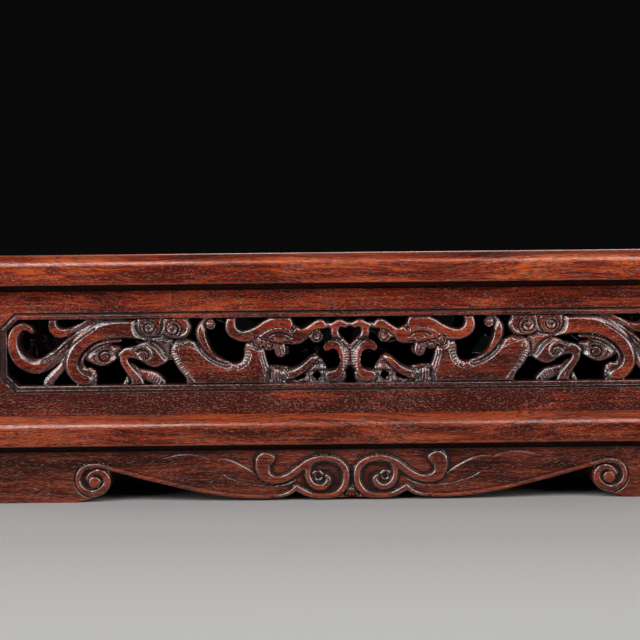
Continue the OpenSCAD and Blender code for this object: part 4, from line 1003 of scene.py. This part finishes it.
DEEP_RED = ((0.050, 0.0045, 0.0015), (0.190, 0.016, 0.0035), (0.350, 0.048, 0.009))
waist_wood = side_woods("waist_wood", DEEP_RED, sheen=0.22, deepen=0.20, pore_length=0.55)
for side, k in SIDES.items():
    kind = k % 2
    rim = BEAD_W + GROOVE_W + 0.6
    waist_x, waist_z = board_grid(
        TOP_HALF[kind] - WAIST_INSET, OPENING_HALF[kind] + rim, WAIST_STEP,
        *WAIST_Z, OPENING_Z - rim, OPENING_Z + OPENING_H + rim, WAIST_Z_STEP)
    carved = carved_shell(waist_x, waist_z, *waist_carving(kind, waist_x, waist_z),
                          -TOP_OUT[kind] + WAIST_INSET, -TOP_OUT[kind] + WALL_IN)
    neck = neck_shell(kind, WAIST_INSET, WAIST_Z[1], WAIST_NECK_TOP)
    wooden_piece("carved_waist_" + side, k, [carved, neck], waist_wood[kind],
                 "waist_" + side)


# Top frame: two long rails and two end rails, mitred with hidden tenons. The outer face leans in a little
# towards its foot and the upper edge is rounded over. The reddest wood of the stand, rubbed smooth by
# handling.

TOP_NODES = {"front": "top_front_rail", "rear": "top_rear_rail",
             "left": "top_left_end", "right": "top_right_end"}
TOP_Z = (79.0, round(cad_box[1][2] / MM, 3))
TOP_GROOVE_Z = 81.9
TOP_SLOPE_W = 4.0
TOP_SLOPE_Z = 87.1
RAIL_W = 30.0
PANEL_GROOVE_Z = (84.9, 88.1)
PANEL_GROOVE_IN = 25.9
TOP_RUB = 0.2
TOP_SHINE = 0.32
TOP_SLOPE_SHADE = 0.20
top_profile, top_rubbed = softened([
    (0.6, TOP_Z[0], 0.9), *tongue_groove(TOP_Z[0], TOP_GROOVE_Z), (RAIL_W, TOP_Z[0], 0.4),
    (RAIL_W, PANEL_GROOVE_Z[0], 0), (PANEL_GROOVE_IN, PANEL_GROOVE_Z[0], 0),
    (PANEL_GROOVE_IN, PANEL_GROOVE_Z[1], 0), (RAIL_W, PANEL_GROOVE_Z[1], 0),
    (RAIL_W, TOP_Z[1], 0.35), (TOP_SLOPE_W, TOP_Z[1], 1.0), (0.0, TOP_SLOPE_Z, 2.3)])
slope_z = TOP_SLOPE_Z + top_profile[:, 0] * (TOP_Z[1] - TOP_SLOPE_Z) / TOP_SLOPE_W
on_slope = np.abs(top_profile[:, 1] - slope_z) < 0.02
# The top's sloped upper edge is painted darker as shade; its rounded corners are rubbed bright.
top_marks = np.column_stack([np.where(on_slope, TOP_SLOPE_SHADE, -TOP_RUB * top_rubbed),
                             np.where(on_slope, 0.0, TOP_SHINE * top_rubbed)])
BRIGHT_RED = ((0.070, 0.0055, 0.0016), (0.215, 0.020, 0.0045), (0.430, 0.072, 0.011))
top_wood = side_woods("top_wood", BRIGHT_RED, speckle=0.8)
for side, node in TOP_NODES.items():
    k = SIDES[side]
    kind = k % 2
    rail = strip_shell(top_profile, TOP_HALF[kind], TOP_OUT[kind], top_marks)
    wooden_piece("top_rail_" + side, k, [rail], top_wood[kind], node)


# Top panel: a wide board floating in the frame's grooves, its face level with the rails. The same red wood
# with the grain along the stand.

panel_wood = waxed_hardwood("panel_wood", "x", BRIGHT_RED, speckle=0.8)
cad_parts["top_panel"].material_slots[0].material = panel_wood


# Battens under the panel and blocks inside the feet: plain dark wood, planed but not polished. The battens
# slide in dovetail slots and stand in the long rails; the blocks back up the mitred aprons.

batten_wood = waxed_hardwood("batten_wood", "y", BROWN, speckle=0.5, sheen=0.5)
block_wood = waxed_hardwood("block_wood", "z", BROWN, speckle=0.5, sheen=0.5)
for name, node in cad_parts.items():
    if name.startswith("batten_"):
        node.material_slots[0].material = batten_wood
    if name.startswith("foot_block_"):
        node.material_slots[0].material = block_wood


# Splines in the waist's mitres and the pins of tenons and foot blocks: small slips of pale wood and bamboo,
# driven in with glue and hidden once the stand is together.

PALE = ((0.26, 0.15, 0.07), (0.42, 0.27, 0.13), (0.55, 0.38, 0.20))
slip_wood = waxed_hardwood("slip_wood", "z", PALE, speckle=0.2, sheen=0.55)
for name in ("waist_splines", "tenon_pins", "foot_pins"):
    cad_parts[name].material_slots[0].material = slip_wood


# Studio, in metres: a plain pale floor that ends behind the stand; soft lights in front above left and right,
# two smaller ones over the stand, one at each side and one behind, and a weak even fill.

FLOOR_LEFT, FLOOR_RIGHT, FLOOR_FRONT, FLOOR_BACK = -1.1, 1.1, -1.3, 0.55
FLOOR_COLOUR = (0.37, 0.366, 0.362, 1.0)
FLOOR_ROUGHNESS = 0.7
FILL_COLOUR = (0.003, 0.003, 0.0031, 1.0)
floor_mesh = bpy.data.meshes.new("floor")
floor_mesh.from_pydata([(FLOOR_LEFT, FLOOR_FRONT, 0), (FLOOR_RIGHT, FLOOR_FRONT, 0),
                        (FLOOR_RIGHT, FLOOR_BACK, 0), (FLOOR_LEFT, FLOOR_BACK, 0)], [], [(0, 1, 2, 3)])
floor_paint = bpy.data.materials.new("floor_paint")
floor_paint.use_nodes = True
floor_shader = floor_paint.node_tree.nodes["Principled BSDF"]
floor_shader.inputs["Base Color"].default_value = FLOOR_COLOUR
floor_shader.inputs["Roughness"].default_value = FLOOR_ROUGHNESS
floor_mesh.materials.append(floor_paint)
floor = bpy.data.objects.new("floor", floor_mesh)
bpy.context.scene.collection.objects.link(floor)


def soft_light(name, place, aim, width, height, watts):
    """A rectangular lamp at a place, turned to face the aim."""
    lamp = bpy.data.lights.new(name, "AREA")
    lamp.shape = "RECTANGLE"
    lamp.size, lamp.size_y = width, height
    lamp.energy = watts
    light = bpy.data.objects.new(name, lamp)
    light.location = place
    aim_line = np.array(aim) - np.array(place)
    turn = np.arctan2(aim_line[1], aim_line[0]) - np.pi / 2
    drop = np.arctan2(np.hypot(aim_line[0], aim_line[1]), -aim_line[2])
    light.rotation_euler = (drop, 0, turn)
    bpy.context.scene.collection.objects.link(light)


soft_light("light_above_left", (-0.31, -0.55, 0.52), (-0.04, -0.09, 0.06), 0.45, 0.42, 2.7)
soft_light("light_above_right", (0.31, -0.55, 0.52), (0.04, -0.09, 0.06), 0.45, 0.42, 1.95)
soft_light("light_over_left", (-0.42, 0.06, 0.66), (-0.1, -0.09, 0.08), 0.3, 0.3, 0.6)
soft_light("light_over_right", (0.42, 0.06, 0.66), (0.1, -0.09, 0.08), 0.3, 0.3, 0.6)
soft_light("light_left", (-0.70, -0.50, 0.28), (0, -0.09, 0.05), 0.5, 0.5, 4.0)
soft_light("light_right", (0.70, -0.50, 0.28), (0, -0.09, 0.05), 0.5, 0.5, 3.2)
soft_light("light_rear", (0.15, 0.75, 0.70), (0, 0.05, 0.05), 0.7, 0.4, 2.6)
world = bpy.data.worlds.new("studio")
bpy.context.scene.world = world
world.use_nodes = True
world.node_tree.nodes["Background"].inputs["Color"].default_value = FILL_COLOUR
world.node_tree.nodes["Background"].inputs["Strength"].default_value = 1.0


# Camera: almost level with the top, square to the long side and a little left of its middle, with a slight
# roll. Its place is in metres, its drop and roll in degrees, its lens and sensor in millimetres.

CAMERA_PLACE = (-0.0109, -0.689, 0.089)
CAMERA_DROP = 2.25
CAMERA_ROLL = -0.61
CAMERA_LENS = 92.9
CAMERA_SENSOR = 36.0
camera_data = bpy.data.cameras.new("camera")
camera_data.sensor_width = CAMERA_SENSOR
camera_data.lens = CAMERA_LENS
camera = bpy.data.objects.new("camera", camera_data)
camera.location = CAMERA_PLACE
camera.rotation_euler = (Euler((radians(90 - CAMERA_DROP), 0, 0)).to_matrix()
                         @ Matrix.Rotation(radians(CAMERA_ROLL), 3, "Z")).to_euler()
bpy.context.scene.collection.objects.link(camera)
bpy.context.scene.camera = camera
bpy.context.scene.view_settings.view_transform = "Standard"
